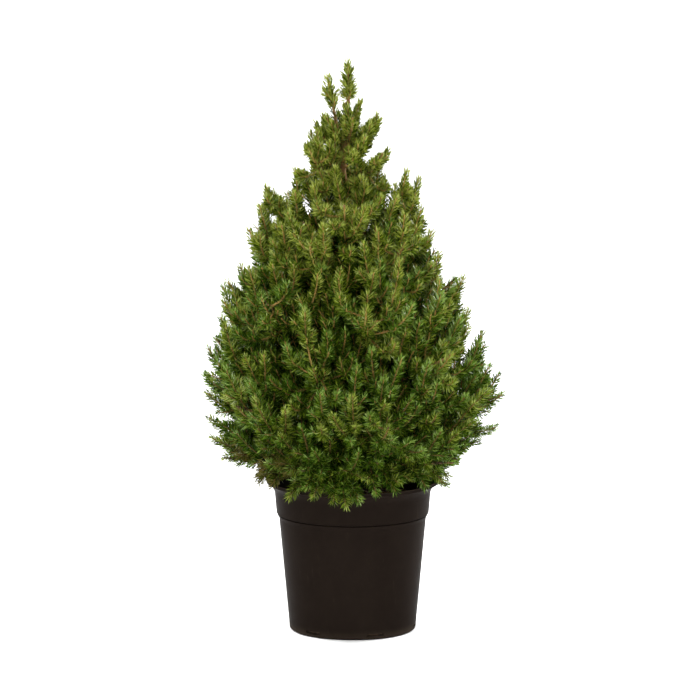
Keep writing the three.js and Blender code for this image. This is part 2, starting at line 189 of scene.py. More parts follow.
# Long plumes that break the outline: height, azimuth and reach from the trunk of their tips.
LONG_PLUMES = [
    (583, -4, 47), (588, 12, 33), (611, -30, 16), (592, 170, 28), (561, 192, 44), (574, 248, 34),
    (606, 268, 20), (566, 290, 42), (531, -12, 74), (519, 8, 88), (491, -20, 96), (458, 5, 103),
    (438, -14, 114), (403, 6, 138), (367, -18, 139), (337, 10, 158), (328, 0, 157),
    (309, -12, 164), (292, 4, 171), (237, -6, 167), (511, 184, 86), (417, 172, 117),
    (399, 190, 138), (355, 168, 145), (328, 187, 159), (322, 176, 150), (291, 174, 164),
    (224, 186, 160),
]
LONG_PLUME_LENGTH = [(450, 62), (600, 36)]
HIGHEST_RINGS = 555  # of the long plumes that have the full rings
# Plumes of the lowest tier that hang over the rim: height, azimuth and reach of their tips.
HANGING_PLUMES = [
    (176, 200, 113), (177, 214, 112), (168, 230, 112), (165, 238, 113), (172, 247, 112),
    (167, 259, 113), (163, 266, 114), (168, 273, 112), (176, 284, 111), (178, 296, 111),
    (178, 318, 111), (178, 335, 112), (172, 12, 112), (168, 68, 112), (174, 117, 111),
    (169, 166, 112),
]
HANGING_RISE = math.radians(-50)
HANGING_LENGTH = 40
# Gaps of the crown that are open to the sky from the front: each one's middle across and up,
# and its radius.
SKY_GAPS = [
    (24, 613, 13), (40, 566, 9), (52, 546, 9), (51, 531, 9), (46, 512, 7), (-72, 549, 9),
    (-78, 516, 12), (-53, 487, 6), (-131, 394, 9), (131, 333, 8),
]
# Plumes between: share of the outline that they reach, how far apart, the room that each needs,
# length and rings.
SHELLS = [
    (0.96, 27, 15, 60, [(0.8, 0.34, 3)]),
    (0.84, 24, 13, 52, [(0.85, 0.42, 2)]),
    (0.7, 23, 12.5, 44, [(0.8, 0.5, 2)]),
    (0.54, 24, 13, 40, [(0.8, 0.5, 2)]),
    (0.38, 25, 13, 40, [(0.8, 0.5, 2)]),
    (0.2, 21, 12, 40, [(0.8, 0.45, 2)]),
]
LOWEST_FILL = 168
HIGHEST_FILL = 612
FILL_REACH = (0.93, 1.05)
FILL_SCATTER = 6
FILL_SLIM = [(512, 1), (535, 0.74), (575, 0.78), (595, 0.8), (610, 0.6), (628, 0.5)]
SHOOTS_CLOSE_UP = [(430, 1), (600, 0.7)]  # share of the usual distance

# ---- Needles and their greens ----
MOST_TRIANGLES = 190_000  # in one piece
NEEDLE_SEED = 33
NEEDLE_LEAN = [(0, 74), (0.7, 60), (0.93, 43), (1, 24)]  # in degrees, by share of the shoot
LEAN_BY_HEIGHT = [(480, 1), (560, 0.72)]
LEAN_SCATTER = 9
NEEDLE_FULL = [(0, 0.85), (0.3, 1.06), (0.8, 1), (1, 0.76)]  # share of its length, as above
NEEDLE_FOLD = 0.5
GREENS = ("deep", "dark", "middle", "bright", "fresh")
PLAIN, COOL, SUNNY, DRY = (len(GREENS) * cast for cast in range(4))  # where each set begins
LIGHT_TO_GREEN = 4
FRESH_FROM = 0.72  # share of a shoot where its newest needles begin
DRY_PATCH = {"left": -145, "right": -72, "back": 40, "top": 228}
DRY_CHANCE = 0.6
COOL_SHARE = [(220, 0.62), (340, 0.55), (440, 0.2), (520, 0)]
# Painted light: the sunny greens and LIGHT_BY_HEIGHT make the needles lighter towards the top of
# the crown and darker low down.
SUNNY_SHARE = [(380, 0), (450, 0.45), (530, 1)]
LIGHT_BY_HEIGHT = [(180, -0.22), (260, -0.08), (330, -0.03), (440, 0.06), (540, 0.56), (640, 0.68)]
# Shares of the needles from two greens darker to two greens lighter than their shoot's.
ODD_NEEDLES = (0.2, 0.2, 0.24, 0.2, 0.16)
RELIEF_SEED = 8


# ---- Curves and the rule of the crown ----
def seeded_draws(seed):
    """Seeded numbers between low and high, the same ones that the construction model draws."""
    state = (seed * 2654435761) & 0xFFFFFFFF

    def draw(low, high):
        nonlocal state
        state = (state * 1664525 + 1013904223) & 0xFFFFFFFF
        return low + (high - low) * state / 2**32

    return draw


def between(pairs, value):
    """Straight-line reading of a list of pairs of input and output."""
    inputs, outputs = zip(*pairs)
    return np.interp(value, inputs, outputs)


def unit(vectors):
    return vectors / np.maximum(np.linalg.norm(vectors, axis=-1, keepdims=True), 1e-9)


def outward(azimuth):
    return np.array([math.cos(azimuth), math.sin(azimuth), 0.0])


def growth(point):
    """The way a shoot of the construction model grows at this point of the crown."""
    share = min(max((point[2] - RISE_FOOT) / RISE_SPAN, 0), 1)
    rise = math.radians(LOWEST_RISE + RISE_GAINED * share**RISE_POWER)
    return outward(math.atan2(point[1], point[0])) * math.cos(rise) + UP * math.sin(rise)


class Bend:
    """A quadratic curve in space."""

    def __init__(self, start, bend, end):
        self.start, self.bend, self.end = (np.asarray(point, float) for point in (start, bend, end))

    def at(self, share):
        share = np.asarray(share, float)[..., None]
        rest = 1 - share
        return rest**2 * self.start + 2 * rest * share * self.bend + share**2 * self.end

    def way(self, share):
        share = np.asarray(share, float)[..., None]
        return unit((1 - share) * (self.bend - self.start) + share * (self.end - self.bend))

    @functools.cached_property
    def length(self):
        points = self.at(np.linspace(0, 1, 201))
        return float(np.linalg.norm(np.diff(points, axis=0), axis=1).sum())

    def part(self, first, last):
        """The part of the curve from one share of it to another."""
        start, middle, end = self.at([first, (first + last) / 2, last])
        return Bend(start, 2 * middle - (start + end) / 2, end)


@functools.cache
def trunk_line():
    """Points along the trunk's axis: a centripetal spline through its bends."""
    bends = np.array(TRUNK_BENDS, float)
    ends = [2 * bends[0] - bends[1], 2 * bends[-1] - bends[-2]]
    knots = np.array([ends[0], *bends, ends[1]])
    points = []
    for n in range(len(bends) - 1):
        a, b, c, d = knots[n : n + 4]
        before, here, after = (math.dist(*pair) ** 0.5 for pair in ((a, b), (b, c), (c, d)))
        leave = ((b - a) / before - (c - a) / (before + here) + (c - b) / here) * here
        arrive = ((c - b) / here - (d - b) / (here + after) + (d - c) / after) * here
        share = np.linspace(0, 1, 400, endpoint=n == len(bends) - 2)[:, None]
        cubic = (2 * b - 2 * c + leave + arrive) * share**3
        points.append(b + leave * share + (3 * c - 3 * b - 2 * leave - arrive) * share**2 + cubic)
    return np.concatenate(points)


def trunk_at(height):
    """The trunk's axis at a height. Above the trunk's tip it goes straight up."""
    line = trunk_line()
    return np.array([np.interp(height, line[:, 2], line[:, axis]) for axis in (0, 1)] + [height])


def trunk_radius(share):
    taper = TRUNK_FOOT_RADIUS + (TRUNK_TIP_RADIUS - TRUNK_FOOT_RADIUS) * share**TRUNK_TAPER_POWER
    return taper + ROOT_FLARE * np.exp(-share * (TRUNK_TIP - TRUNK_FOOT) / ROOT_FLARE_HEIGHT)


def limb_curve(foot, tip, reach, azimuth):
    """A limb's centreline from the trunk's axis to its tip, where it turns up as shoots do."""
    start = trunk_at(foot)
    end = trunk_at(tip) + outward(azimuth) * reach
    return Bend(start, end - growth(end) * TURN_UP * math.dist(start, end), end)


def spray_on(curve, radius, twig_radius):
    bare = max(SHORTEST_BARE, 1 - SPRAY_LENGTH * radius / curve.length)
    return SimpleNamespace(curve=curve, radius=radius, twig_radius=twig_radius, bare=bare)


def plan_masses():
    """Every mass of the crown with its limb, from the leader down."""
    foot = trunk_line()[-1] + UP * GAP
    tip = np.array([foot[0], foot[1], CROWN_TIP])
    second = SimpleNamespace(**SECOND_LEADER)
    second_limb = limb_curve(second.foot, second.tip, second.reach, math.radians(second.azimuth))
    plans = [
        ("leader", Bend(foot, (foot + tip) / 2, tip), LEADER_BARE, False),
        ("second_leader", second_limb, second.bare, False),
    ]
    for level, (count, foot, tip, reach, first, is_bough) in enumerate(WHORLS):
        draw = seeded_draws(level + WHORL_SEED)
        for n in range(count):
            azimuth = first + 360 * n / count + draw(-AZIMUTH_SCATTER, AZIMUTH_SCATTER)
            limb_tip = tip + draw(-HEIGHT_SCATTER, HEIGHT_SCATTER)
            limb_reach = reach * (1 + draw(-REACH_SCATTER, REACH_SCATTER))
            limb_foot = foot + WHORL_STAGGER * ((2 * n) % count)
            limb = limb_curve(limb_foot, limb_tip, limb_reach, math.radians(azimuth))
            plans.append((f"whorl{level + 1}_{n + 1}", limb, None, is_bough))
    masses = []
    for name, limb, bare, is_bough in plans:
        stem = limb.part(BARE_SHARE + GAP / limb.length if is_bough else 0, 1)
        spray = spray_on(stem, between(SPRAY_RADIUS, stem.end[2]), STEM_RADIUS)
        spray.bare = spray.bare if bare is None else bare
        line = stem.at(np.linspace(0, 1, STEM_PLACES + 1))
        masses.append(
            SimpleNamespace(
                name=name, limb=limb, stem=stem, line=line, is_bough=is_bough, sprays=[spray]
            )
        )
    return masses


def balls_of(spray):
    """Balls that a spray and its twig fill: their middles and radii."""
    at = np.arange(1, SPRAY_BALLS + 1) / SPRAY_BALLS
    share = (at - spray.bare) / (1 - spray.bare)
    full = np.maximum(0, share)
    needled = BALL_FIT * spray.radius * (FULLNESS[0] + FULLNESS[1] * full - FULLNESS[2] * full**2)
    reach = np.where(share < NEEDLES_BEGIN, spray.twig_radius, needled)
    reach[-1] = TIP_BALL
    return spray.curve.at(at), reach


def clear_of_pot(points, reach):
    beside = np.maximum(0, np.hypot(points[:, 0], points[:, 1]) - POT_TOP[0])
    above = np.maximum(0, points[:, 2] - POT_TOP[2])
    return np.all(np.hypot(beside, above) > reach + SPACE_MARGIN)


def crown_tips():
    """Tips of the sprays, spread evenly over the outline by the golden angle."""
    draw = seeded_draws(TIPS_SEED)
    tips = []
    due = 0
    for height in range(LOWEST_SPRAY, HIGHEST_SPRAY):
        radius = between(CROWN_OUTLINE, height)
        slant = math.hypot(1, between(CROWN_OUTLINE, height + 1) - radius)
        spray = between(SPRAY_RADIUS, height)
        due += FULL_TURN * radius * slant / (TIP_CELL * (SPRAYS_APART * spray) ** 2)
        while due >= 1:
            due -= 1
            reach = radius * (1 - draw(0, TIP_SCATTER))
            tips.append((trunk_at(height) + outward(GOLDEN_ANGLE * len(tips)) * reach, spray))
    return tips


def twig_to(tip, mass, away):
    """A side twig to a tip, which leaves the mass's stem aslant and ends as shoots grow."""
    behind = away.min() / math.tan(TWIG_ANGLE) / mass.stem.length
    share = np.clip(away.argmin() / STEM_PLACES - behind, *TWIG_ROOTS[mass.is_bough])
    root = mass.stem.at(share)
    return Bend(root, tip - growth(tip) * TURN_UP * math.dist(root, tip), tip)


@functools.cache
def crown():
    """The masses with their sprays, placed as the construction model places them."""
    masses = plan_masses()
    points, reaches, owners = [], [], []

    def fill(owner, middles, reach):
        points.append(middles)
        reaches.append(np.broadcast_to(reach, len(middles)))
        owners.append(np.full(len(middles), owner))

    line = trunk_line()
    shares = np.linspace(0, 1, math.ceil((TRUNK_TIP - TRUNK_FOOT) / LIMB_BALLS_APART) + 1)
    middles = line[(shares * (len(line) - 1)).astype(int)]
    fill(WOOD, middles, trunk_radius(shares) + LIMB_BALL_MARGIN)
    for mass in masses:
        if mass.is_bough:
            bough = mass.limb.part(0, BARE_SHARE)
            shares = np.linspace(0, 1, math.ceil(bough.length / LIMB_BALLS_APART) + 1)
            radii = BOUGH_ROOT_RADIUS + (BOUGH_END_RADIUS - BOUGH_ROOT_RADIUS) * shares
            fill(WOOD, bough.at(shares), radii + LIMB_BALL_MARGIN)
    for owner, mass in enumerate(masses):
        fill(owner, *balls_of(mass.sprays[0]))
    for tip, radius in crown_tips():
        aways = [np.linalg.norm(mass.line - tip, axis=1) for mass in masses]
        owner = int(np.argmin([away.min() for away in aways]))
        mass = masses[owner]
        if math.dist(mass.stem.end, tip) < STEM_TIP_ROOM * radius:
            continue
        others = np.concatenate(owners) != owner
        filled, room = np.concatenate(points)[others], np.concatenate(reaches)[others]
        for share in SIZES_TRIED:
            spray = spray_on(twig_to(tip, mass, aways[owner]), share * radius, TWIG_RADIUS)
            middles, reach = balls_of(spray)
            apart = np.linalg.norm(middles[:, None] - filled[None], axis=2)
            free = np.all(apart > reach[:, None] + room + SPACE_MARGIN)
            if free and clear_of_pot(middles, reach):
                mass.sprays.append(spray)
                fill(owner, middles, reach)
                break
    return masses


# ---- Twigs and shoots ----
def light_at(point):
    """How much light a point of the crown gets: 1 at the outline, and none deep inside."""
    depth = between(CROWN_OUTLINE, point[2]) - math.dist(point, trunk_at(point[2]))
    return 1 - max(depth, 0) / DARK_DEPTH


def is_in_gap(curve):
    """Whether the needled part of a shoot crosses one of the gaps."""
    across, _, up = curve.at(np.linspace(0.3, 1, 6)).T
    return any(np.any(np.hypot(across - x, up - z) < radius) for x, z, radius in SKY_GAPS)


def shoot_way(point, side=None):
    """The way a fine shoot grows: hanging in the lowest tier, and soon nearly upright above."""
    rise = math.radians(between(SHOOT_RISE, point[2]))
    axis = trunk_at(point[2])
    out = outward(math.atan2(point[1] - axis[1], point[0] - axis[0]))
    way = out * math.cos(rise) + UP * math.sin(rise)
    return way if side is None else unit(way + side)


def climbing_root(root, tip):
    """The root of a twig of the head, moved down to the trunk where the twig would not rise."""
    reach = math.dist(trunk_at(tip[2]), tip)
    if tip[2] < HEAD_FOOT or root[2] < tip[2] - LEAST_CLIMB * reach:
        return root
    return trunk_at(tip[2] - CLIMB * reach)


class Growth:
    """The fine growth of the crown: twigs, and the shoots on them that bear most needles."""

    def __init__(self, seed):
        self.draws = np.random.default_rng(seed)
        self.shoots, self.twigs = [], []
        self.places, self.owners = [], []

    def scatter(self, amount):
        """A small random turn of a direction."""
        return amount * self.draws.normal(size=3)

    def shoot(self, owner, curve, radius, size, light, kept=False):
        """A shoot with needles all along it, left out where it crosses a gap unless it is kept."""
        if kept or not is_in_gap(curve):
            made = SimpleNamespace(mass=owner, curve=curve, radius=radius, size=size, light=light)
            self.shoots.append(made)

    def bear(self, owner, curve, first, last):
        """Marks a stretch of twig or stem as able to bear shoots."""
        shares = np.linspace(first, last, max(2, int(curve.length * (last - first) / 4)))
        self.places.append(curve.at(shares))
        self.owners.append(np.full(len(shares), owner))

    def aside(self, owner, root, way, turn, reach, size, light):
        """A side shoot that leaves its twig aslant and soon turns the way that all shoots grow."""
        across = unit(np.cross(way, SKEW))
        side = across * math.cos(turn) + np.cross(way, across) * math.sin(turn)
        angle = math.radians(self.draws.uniform(*SIDE_ANGLE))
        bend = root + (way * math.cos(angle) + side * math.sin(angle)) * reach * SIDE_BEND
        rising = shoot_way(bend, SIDE_PULL * side + self.scatter(0.1))
        curve = Bend(root, bend, bend + rising * reach * SIDE_END)
        self.shoot(owner, curve, SIDE_STEM, size, light)

    def plume(self, owner, curve, length, radius, size, rings, kept=False):
        """The straight end of a twig, with rings of shorter side shoots round it."""
        light = light_at(curve.end) + self.draws.normal(0, LIGHT_SCATTER)
        node = max(0.05, 1 - length / curve.length)
        self.shoot(owner, curve.part(node, 1), radius, size, light, kept)
        self.bear(owner, curve, 0.08, node)
        phase = self.draws.uniform(0, FULL_TURN)
        for n, (back, part, count) in enumerate(rings):
            share = 1 - back * length / curve.length
            if share < LEAST_ROOT:
                continue
            for k in range(count):
                turn = phase + RING_TURN * n
                turn += FULL_TURN * (k + self.draws.uniform(-TURN_SCATTER, TURN_SCATTER)) / count
                place = share + self.draws.uniform(-PLACE_SCATTER, PLACE_SCATTER)
                reach = part * length * self.draws.uniform(*SIDE_SCATTER)
                lit = light - DIMMED_BACK * back + self.draws.normal(0, 0.05)
                root, way = curve.at(place), curve.way(place)
                self.aside(owner, root, way, turn, reach, SIDE_SIZE * size, lit)

    def twig(self, owner, root, tip, way, straight):
        """A twig that rises into a straight end, or none where it would cross a gap."""
        curve = Bend(root, tip - way * straight, tip)
        if is_in_gap(curve):
            return None
        self.twigs.append((owner, curve))
        return curve

    def reach_out(self, tip, way, length, rings):
        """A plume with its tip at a place, on a twig from the nearest place that can bear it."""
        places, owners = np.concatenate(self.places), np.concatenate(self.owners)
        away = np.linalg.norm(places - (tip - way * length), axis=1)
        away[np.linalg.norm(places - tip, axis=1) < SHORTEST_TWIG] = LONGEST_TWIG
        nearest = int(away.argmin())
        root, owner = places[nearest], int(owners[nearest])
        reach = math.dist(root, tip)
        if reach > LONGEST_TWIG or not clear_of_pot((tip - way * 0.4 * length)[None], 4):
            return None
        length = length * self.draws.uniform(*LENGTH_SCATTER)
        curve = self.twig(owner, root, tip, way, min(0.6 * reach, 0.8 * length))
        if curve is not None:
            length = min(length, 0.85 * curve.length)
            self.plume(owner, curve, length, 1, between(NEEDLE_SIZE, tip[2]), rings)
        return curve

    def fill(self, shell, apart, room, length, rings):
        """Plumes spread evenly over a smaller outline, wherever that leaves the crown bare."""
        points = np.concatenate([shoot.curve.at(np.linspace(0.2, 1, 5)) for shoot in self.shoots])
        due, count = 0, 0
        for height in range(LOWEST_FILL, HIGHEST_FILL):
            radius = shell * between(CROWN_OUTLINE, height) * between(FILL_SLIM, height)
            spread = apart * between(SHOOTS_CLOSE_UP, height)
            due += FULL_TURN * radius / (TIP_CELL * spread**2)
            while due >= 1:
                due -= 1
                count += 1
                out = outward(GOLDEN_ANGLE * count + 5 * shell)
                tip = trunk_at(height) + out * radius * self.draws.uniform(*FILL_REACH)
                tip[2] += self.draws.uniform(-FILL_SCATTER, FILL_SCATTER)
                way = shoot_way(tip, self.scatter(0.12))
                middle = tip - way * 0.4 * length
                if np.min(np.sum((points - middle) ** 2, axis=1)) < room**2:
                    continue
                curve = self.reach_out(tip, way, length, rings)
                if curve is not None:
                    points = np.concatenate([points, curve.at(np.linspace(0.4, 1, 5))])


def grow_spray(fine, owner, mass, n, spray):
    """The plume at the end of a spray. A mass's first spray is the end of its own stem."""
    is_end, in_leader = n == 0, owner == 0
    tip = spray.curve.end - spray.curve.way(1) * 4
    if not is_end and not in_leader:
        axis = trunk_at(tip[2])
        slim, down = between(HEAD_SLIM, tip[2]), between(HEAD_DOWN, tip[2])
        tip = axis + (tip - axis) * slim - UP * down
    elif not is_end:
        tip = tip - UP * LEADER_SIDES_DOWN
    length, size = between(PLUME_LENGTH, spray.radius), between(NEEDLE_SIZE, tip[2])
    way = shoot_way(tip, fine.scatter(0.08))
    if is_end and in_leader:
        curve = spray.curve.part(0.02, 0.93)
        length, size = curve.length, LEADER_SIZE
    elif is_end:
        root = spray.curve.at(max(0.1, 1 - 1.3 * length / spray.curve.length))
        curve = Bend(root, tip - way * 0.5 * math.dist(root, tip), tip)
        size = SECOND_LEADER_SIZE if mass.name == "second_leader" else size
    else:
        root = climbing_root(spray.curve.start, tip)
        curve = fine.twig(owner, root, tip, way, 0.55 * math.dist(root, tip))
    if curve is None:
        return
    rings = PLUME_RINGS if spray.radius > FULL_RINGS_RADIUS else SMALL_PLUME_RINGS
    rings = LEADER_RINGS if in_leader else rings
    radius = LEADER_STEM if tip[2] > LEADERS_FROM else PLUME_STEMS[is_end]
    fine.plume(owner, curve, min(length, curve.length), radius, size, rings, kept=is_end)


@functools.cache
def grown():
    """All the fine growth of the crown."""
    fine = Growth(SHOOT_SEED)
    for owner, mass in enumerate(crown()):
        for n, spray in enumerate(mass.sprays):
            grow_spray(fine, owner, mass, n, spray)
        fine.bear(owner, mass.stem, 0.05, 0.8)
    lines = np.array([mass.line for mass in crown()])
    for height in BEARING_TRUNK:
        place = trunk_at(height)
        owner = int(np.linalg.norm(lines - place, axis=2).min(axis=1).argmin())
        fine.bear(owner, Bend(place, place, place), 0, 1)
    for height, azimuth, reach in LONG_PLUMES:
        tip = trunk_at(height) + outward(math.radians(azimuth)) * reach
        rings = PLUME_RINGS if height < HIGHEST_RINGS else SMALL_PLUME_RINGS
        way = shoot_way(tip, fine.scatter(0.06))
        fine.reach_out(tip, way, between(LONG_PLUME_LENGTH, height), rings)
    for height, azimuth, reach in HANGING_PLUMES:
        out = outward(math.radians(azimuth))
        way = out * math.cos(HANGING_RISE) + UP * math.sin(HANGING_RISE)
        way = unit(way + fine.scatter(0.1))
        fine.reach_out(UP * height + out * reach, way, HANGING_LENGTH, PLUME_RINGS)
    for shell in SHELLS:
        fine.fill(*shell)
    return fine


# ---- Meshes ----
CUBE = np.array([[x, y, z] for x in (-1, 1) for y in (-1, 1) for z in (-1, 1)], float)
CUBE_FACES = np.array(
    [[0, 1, 3, 2], [4, 6, 7, 5], [0, 4, 5, 1], [2, 3, 7, 6], [0, 2, 6, 4], [1, 5, 7, 3]]
)


def new_piece(name, points, faces, finishes, dealt=None, smooth=True):
    """A mesh object from points and a list of face arrays, each with its own corner count."""
    mesh = bpy.data.meshes.new(name)
    mesh.vertices.add(len(points))
    mesh.vertices.foreach_set("co", np.ascontiguousarray(points * MM, dtype=np.float32).ravel())
    corners = np.concatenate([group.ravel() for group in faces])
    sizes = np.concatenate([np.full(len(group), group.shape[1]) for group in faces])
    mesh.loops.add(len(corners))
    mesh.loops.foreach_set("vertex_index", corners.astype(np.int32))
    mesh.polygons.add(len(sizes))
    mesh.polygons.foreach_set("loop_start", (np.cumsum(sizes) - sizes).astype(np.int32))
    if dealt is not None:
        mesh.polygons.foreach_set("material_index", dealt.astype(np.int32))
    mesh.polygons.foreach_set("use_smooth", np.full(len(sizes), smooth))
    mesh.update(calc_edges=True)
    mesh.validate()
    piece = bpy.data.objects.new(name, mesh)
    bpy.context.scene.collection.objects.link(piece)
    for finish in finishes:
        mesh.materials.append(finish)
    return piece


def keep_in_body(piece, slot, *nodes):
    """The piece rides on the one body and stands for the nodes, which it hides. The slot is not
    used.
    """
    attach(piece, "root")
    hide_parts(*nodes)


def relief(points, size, seed=RELIEF_SEED):
    """Smooth noise from -1 to 1 at points, with bumps of about the given size."""
    places = np.asarray(points) / size
    cell = np.floor(places).astype(np.int64)
    part = places - cell
    part = part * part * (3 - 2 * part)
    total = np.zeros(places.shape[:-1])
    for corner in np.ndindex(2, 2, 2):
        key = (cell + corner) * np.array([374761393, 668265263, 2147483647])
        mixed = (key.sum(axis=-1) + seed * 974634777) & 0xFFFFFFFF
        mixed = ((mixed ^ (mixed >> 13)) * 1274126177) & 0xFFFFFFFF
        weight = np.prod(np.where(np.array(corner), part, 1 - part), axis=-1)
        total += weight * (mixed ^ (mixed >> 16)) / 2**31
    return total - 1


def ring_turns(sides):
    """Cosines and sines of a ring's corners."""
    turn = FULL_TURN * np.arange(sides) / sides
    return np.cos(turn), np.sin(turn)


def skin_faces(rings, sides):
    """Quads between rings that follow each other."""
    ring, corner = np.divmod(np.arange((rings - 1) * sides), sides)
    a, b = ring * sides + corner, ring * sides + (corner + 1) % sides
    return np.stack([a, b, b + sides, a + sides], axis=1)


def fan_faces(start, middle, sides):
    """Triangles from the ring that begins at one point to a middle point."""
    corner = np.arange(sides)
    last = np.full(sides, middle)
    return np.stack([start + corner, start + (corner + 1) % sides, last], axis=1)


def tubes(lines, radii, sides):
    """Closed tubes along lines of equal ring count, flat at the foot and pointed at the end."""
    count, rings = lines.shape[:2]
    ways = unit(np.gradient(lines, axis=1))
    across = np.empty_like(lines)
    last = np.tile(SKEW, (count, 1))
    for ring in range(rings):
        way = ways[:, ring]
        last = unit(last - way * np.sum(last * way, axis=1, keepdims=True))
        across[:, ring] = last
    over = np.cross(ways, across)
    cos, sin = ring_turns(sides)
    if radii.ndim == 2:
        radii = np.repeat(radii[..., None], sides, axis=2)
    round_way = across[:, :, None] * cos[:, None] + over[:, :, None] * sin[:, None]
    skins = (lines[:, :, None] + radii[..., None] * round_way).reshape(count, -1, 3)
    tips = lines[:, -1] + ways[:, -1] * radii[:, -1].mean(axis=1, keepdims=True)
    points = np.concatenate([skins, tips[:, None]], axis=1)
    corner = np.arange(1, sides - 1)
    foot = np.stack([np.zeros_like(corner), corner + 1, corner], axis=1)
    ends = np.concatenate([fan_faces((rings - 1) * sides, rings * sides, sides), foot])
    steps = np.arange(count)[:, None, None] * points.shape[1]
    faces = [(skin_faces(rings, sides) + steps).reshape(-1, 4), (ends + steps).reshape(-1, 3)]
    return points.reshape(-1, 3), faces


def joined(parts):
    """Points and faces of several parts as one."""
    points, quads, triangles, start = [], [], [], 0
    for part_points, faces in parts:
        points.append(part_points)
        for group in faces:
            (quads if group.shape[1] == 4 else triangles).append(group + start)
        start += len(part_points)
    return np.concatenate(points), [np.concatenate(group) for group in (quads, triangles) if group]


def turned(profile, sides):
    """A profile, which starts and ends on the axis, turned round it."""
    profile = np.asarray(profile, float)
    radii, heights = profile[1:-1, :1], profile[1:-1, 1:]
    cos, sin = ring_turns(sides)
    rings = np.stack([radii * cos, radii * sin, np.repeat(heights, sides, axis=1)], axis=2)
    ends = [[0, 0, profile[0, 1]], [0, 0, profile[-1, 1]]]
    points = np.concatenate([rings.reshape(-1, 3), ends])
    foot = fan_faces(0, len(points) - 2, sides)[:, [1, 0, 2]]
    head = fan_faces((len(radii) - 1) * sides, len(points) - 1, sides)
    return points, [skin_faces(len(radii), sides), np.concatenate([foot, head])]


# ---- Finishes ----
class Value:
    """A number that varies over a surface, for arithmetic with others and plain numbers."""

    def __init__(self, finish, socket):
        self.finish, self.socket = finish, socket

    def _maths(self, operation, first, second):
        return self.finish.value("ShaderNodeMath", {"operation": operation}, {0: first, 1: second})

    def __add__(self, other):
        return self._maths("ADD", self, other)

    def __sub__(self, other):
        return self._maths("SUBTRACT", self, other)

    def __rsub__(self, other):
        return self._maths("SUBTRACT", other, self)

    def __mul__(self, other):
        return self._maths("MULTIPLY", self, other)

    __radd__ = __add__
    __rmul__ = __mul__


class Finish:
    """A procedural material, built node by node."""

    def __init__(self, name):
        self.material = bpy.data.materials.new(name)
        self.material.use_nodes = True
        self.nodes = self.material.node_tree.nodes
        self.nodes.clear()
        self.surface = self.node("ShaderNodeBsdfPrincipled")
        self.node("ShaderNodeOutputMaterial", inputs={"Surface": self.surface.outputs[0]})

    def node(self, kind, settings=None, inputs=None):
        """A node of a type, with its settings made first and then its sockets' values or links."""
        node = self.nodes.new(kind)
        for name, setting in (settings or {}).items():
            setattr(node, name, setting)
        self.feed(node, inputs or {})
        return node

    def feed(self, node, inputs):
        for key, given in inputs.items():
            given = given.socket if isinstance(given, Value) else given
            if isinstance(given, bpy.types.NodeSocket):
                self.material.node_tree.links.new(given, node.inputs[key])
            else:
                node.inputs[key].default_value = given

    def value(self, kind, settings=None, inputs=None, output=0):
        return Value(self, self.node(kind, settings, inputs).outputs[output])

    def place(self, stretch=(1, 1, 1)):
        """Places on the object in metres, stretched along the axes."""
        place = self.node("ShaderNodeTexCoord").outputs["Object"]
        inputs = {0: place, 1: stretch}
        return self.node("ShaderNodeVectorMath", {"operation": "MULTIPLY"}, inputs).outputs[0]

    def height(self):
        """Height above the ground in metres."""
        return self.value("ShaderNodeSeparateXYZ", None, {0: self.place()}, output=2)

    def noise(self, scale, detail=3.0, roughness=0.55, stretch=(1, 1, 1)):
        """Cloudy noise with so many waves to a metre."""
        inputs = {"Vector": self.place(stretch), "Scale": scale}
        inputs.update(Detail=detail, Roughness=roughness)
        return self.value("ShaderNodeTexNoise", {"noise_dimensions": "3D"}, inputs)

    def step(self, value, low, high):
        """0 below low, 1 above high and smooth between."""
        settings = {"interpolation_type": "SMOOTHSTEP"}
        inputs = {"Value": value, "From Min": low, "From Max": high}
        return self.value("ShaderNodeMapRange", settings, inputs)

    def mixed(self, share, first, second):
        """A colour between two others."""
        node = self.node("ShaderNodeMix", {"data_type": "RGBA"})
        places = {socket.identifier: n for n, socket in enumerate(node.inputs)}
        given = {"Factor_Float": share, "A_Color": colour_of(first), "B_Color": colour_of(second)}
        self.feed(node, {places[name]: value for name, value in given.items()})
        return node.outputs[2]

    def bump(self, height, depth, strength):
        """The surface's direction with bumps of a depth in metres."""
        inputs = {"Height": height, "Distance": depth, "Strength": strength}
        return self.node("ShaderNodeBump", None, inputs).outputs[0]

    def finish(self, **sockets):
        """Feeds the surface's sockets, whose names are written with underscores."""
        self.feed(self.surface, {name.replace("_", " "): given for name, given in sockets.items()})
        return self.material


def colour_of(given):
    """A plain colour with its alpha, or a linked one as it is."""
    return given if isinstance(given, bpy.types.NodeSocket) else (*given, 1.0)


def pot_plastic(settings):
    """Black moulded plastic: faint scuffs and dusting, a painted highlight along the top of the
    rim, and paler towards the foot.
    """
    finish = Finish("pot_plastic")
    height = finish.height()
    cloud = finish.noise(38, 4)
    scuffs = finish.step(finish.noise(160, 5, 0.7, (1, 1, 0.12)), 0.6, 0.78)
    grain = finish.noise(1500, 2)
    top = settings.height
    # Painted highlight: the top of the rim is mixed towards the pale colour. The lowest 12 mm of
    # the foot also turn paler. The scuffs and cloud are the plastic's own marks.
    rim = finish.step(height, top - 0.0015, top + 0.0002)
    foot = 1 - finish.step(height, 0.0, 0.012)
    dust = (rim * 0.8 + foot * 0.35 + scuffs * 0.22 + 0.08) * (cloud + 0.25)
    colour = finish.mixed(dust, settings.plastic, settings.dust)
    return finish.finish(
        Base_Color=colour,
        Roughness=cloud * 0.2 + 0.34 + scuffs * 0.12,
        Specular_IOR_Level=0.006,
        Normal=finish.bump(grain + cloud * 2 + scuffs * 0.6, 0.00012, 0.6),
    )


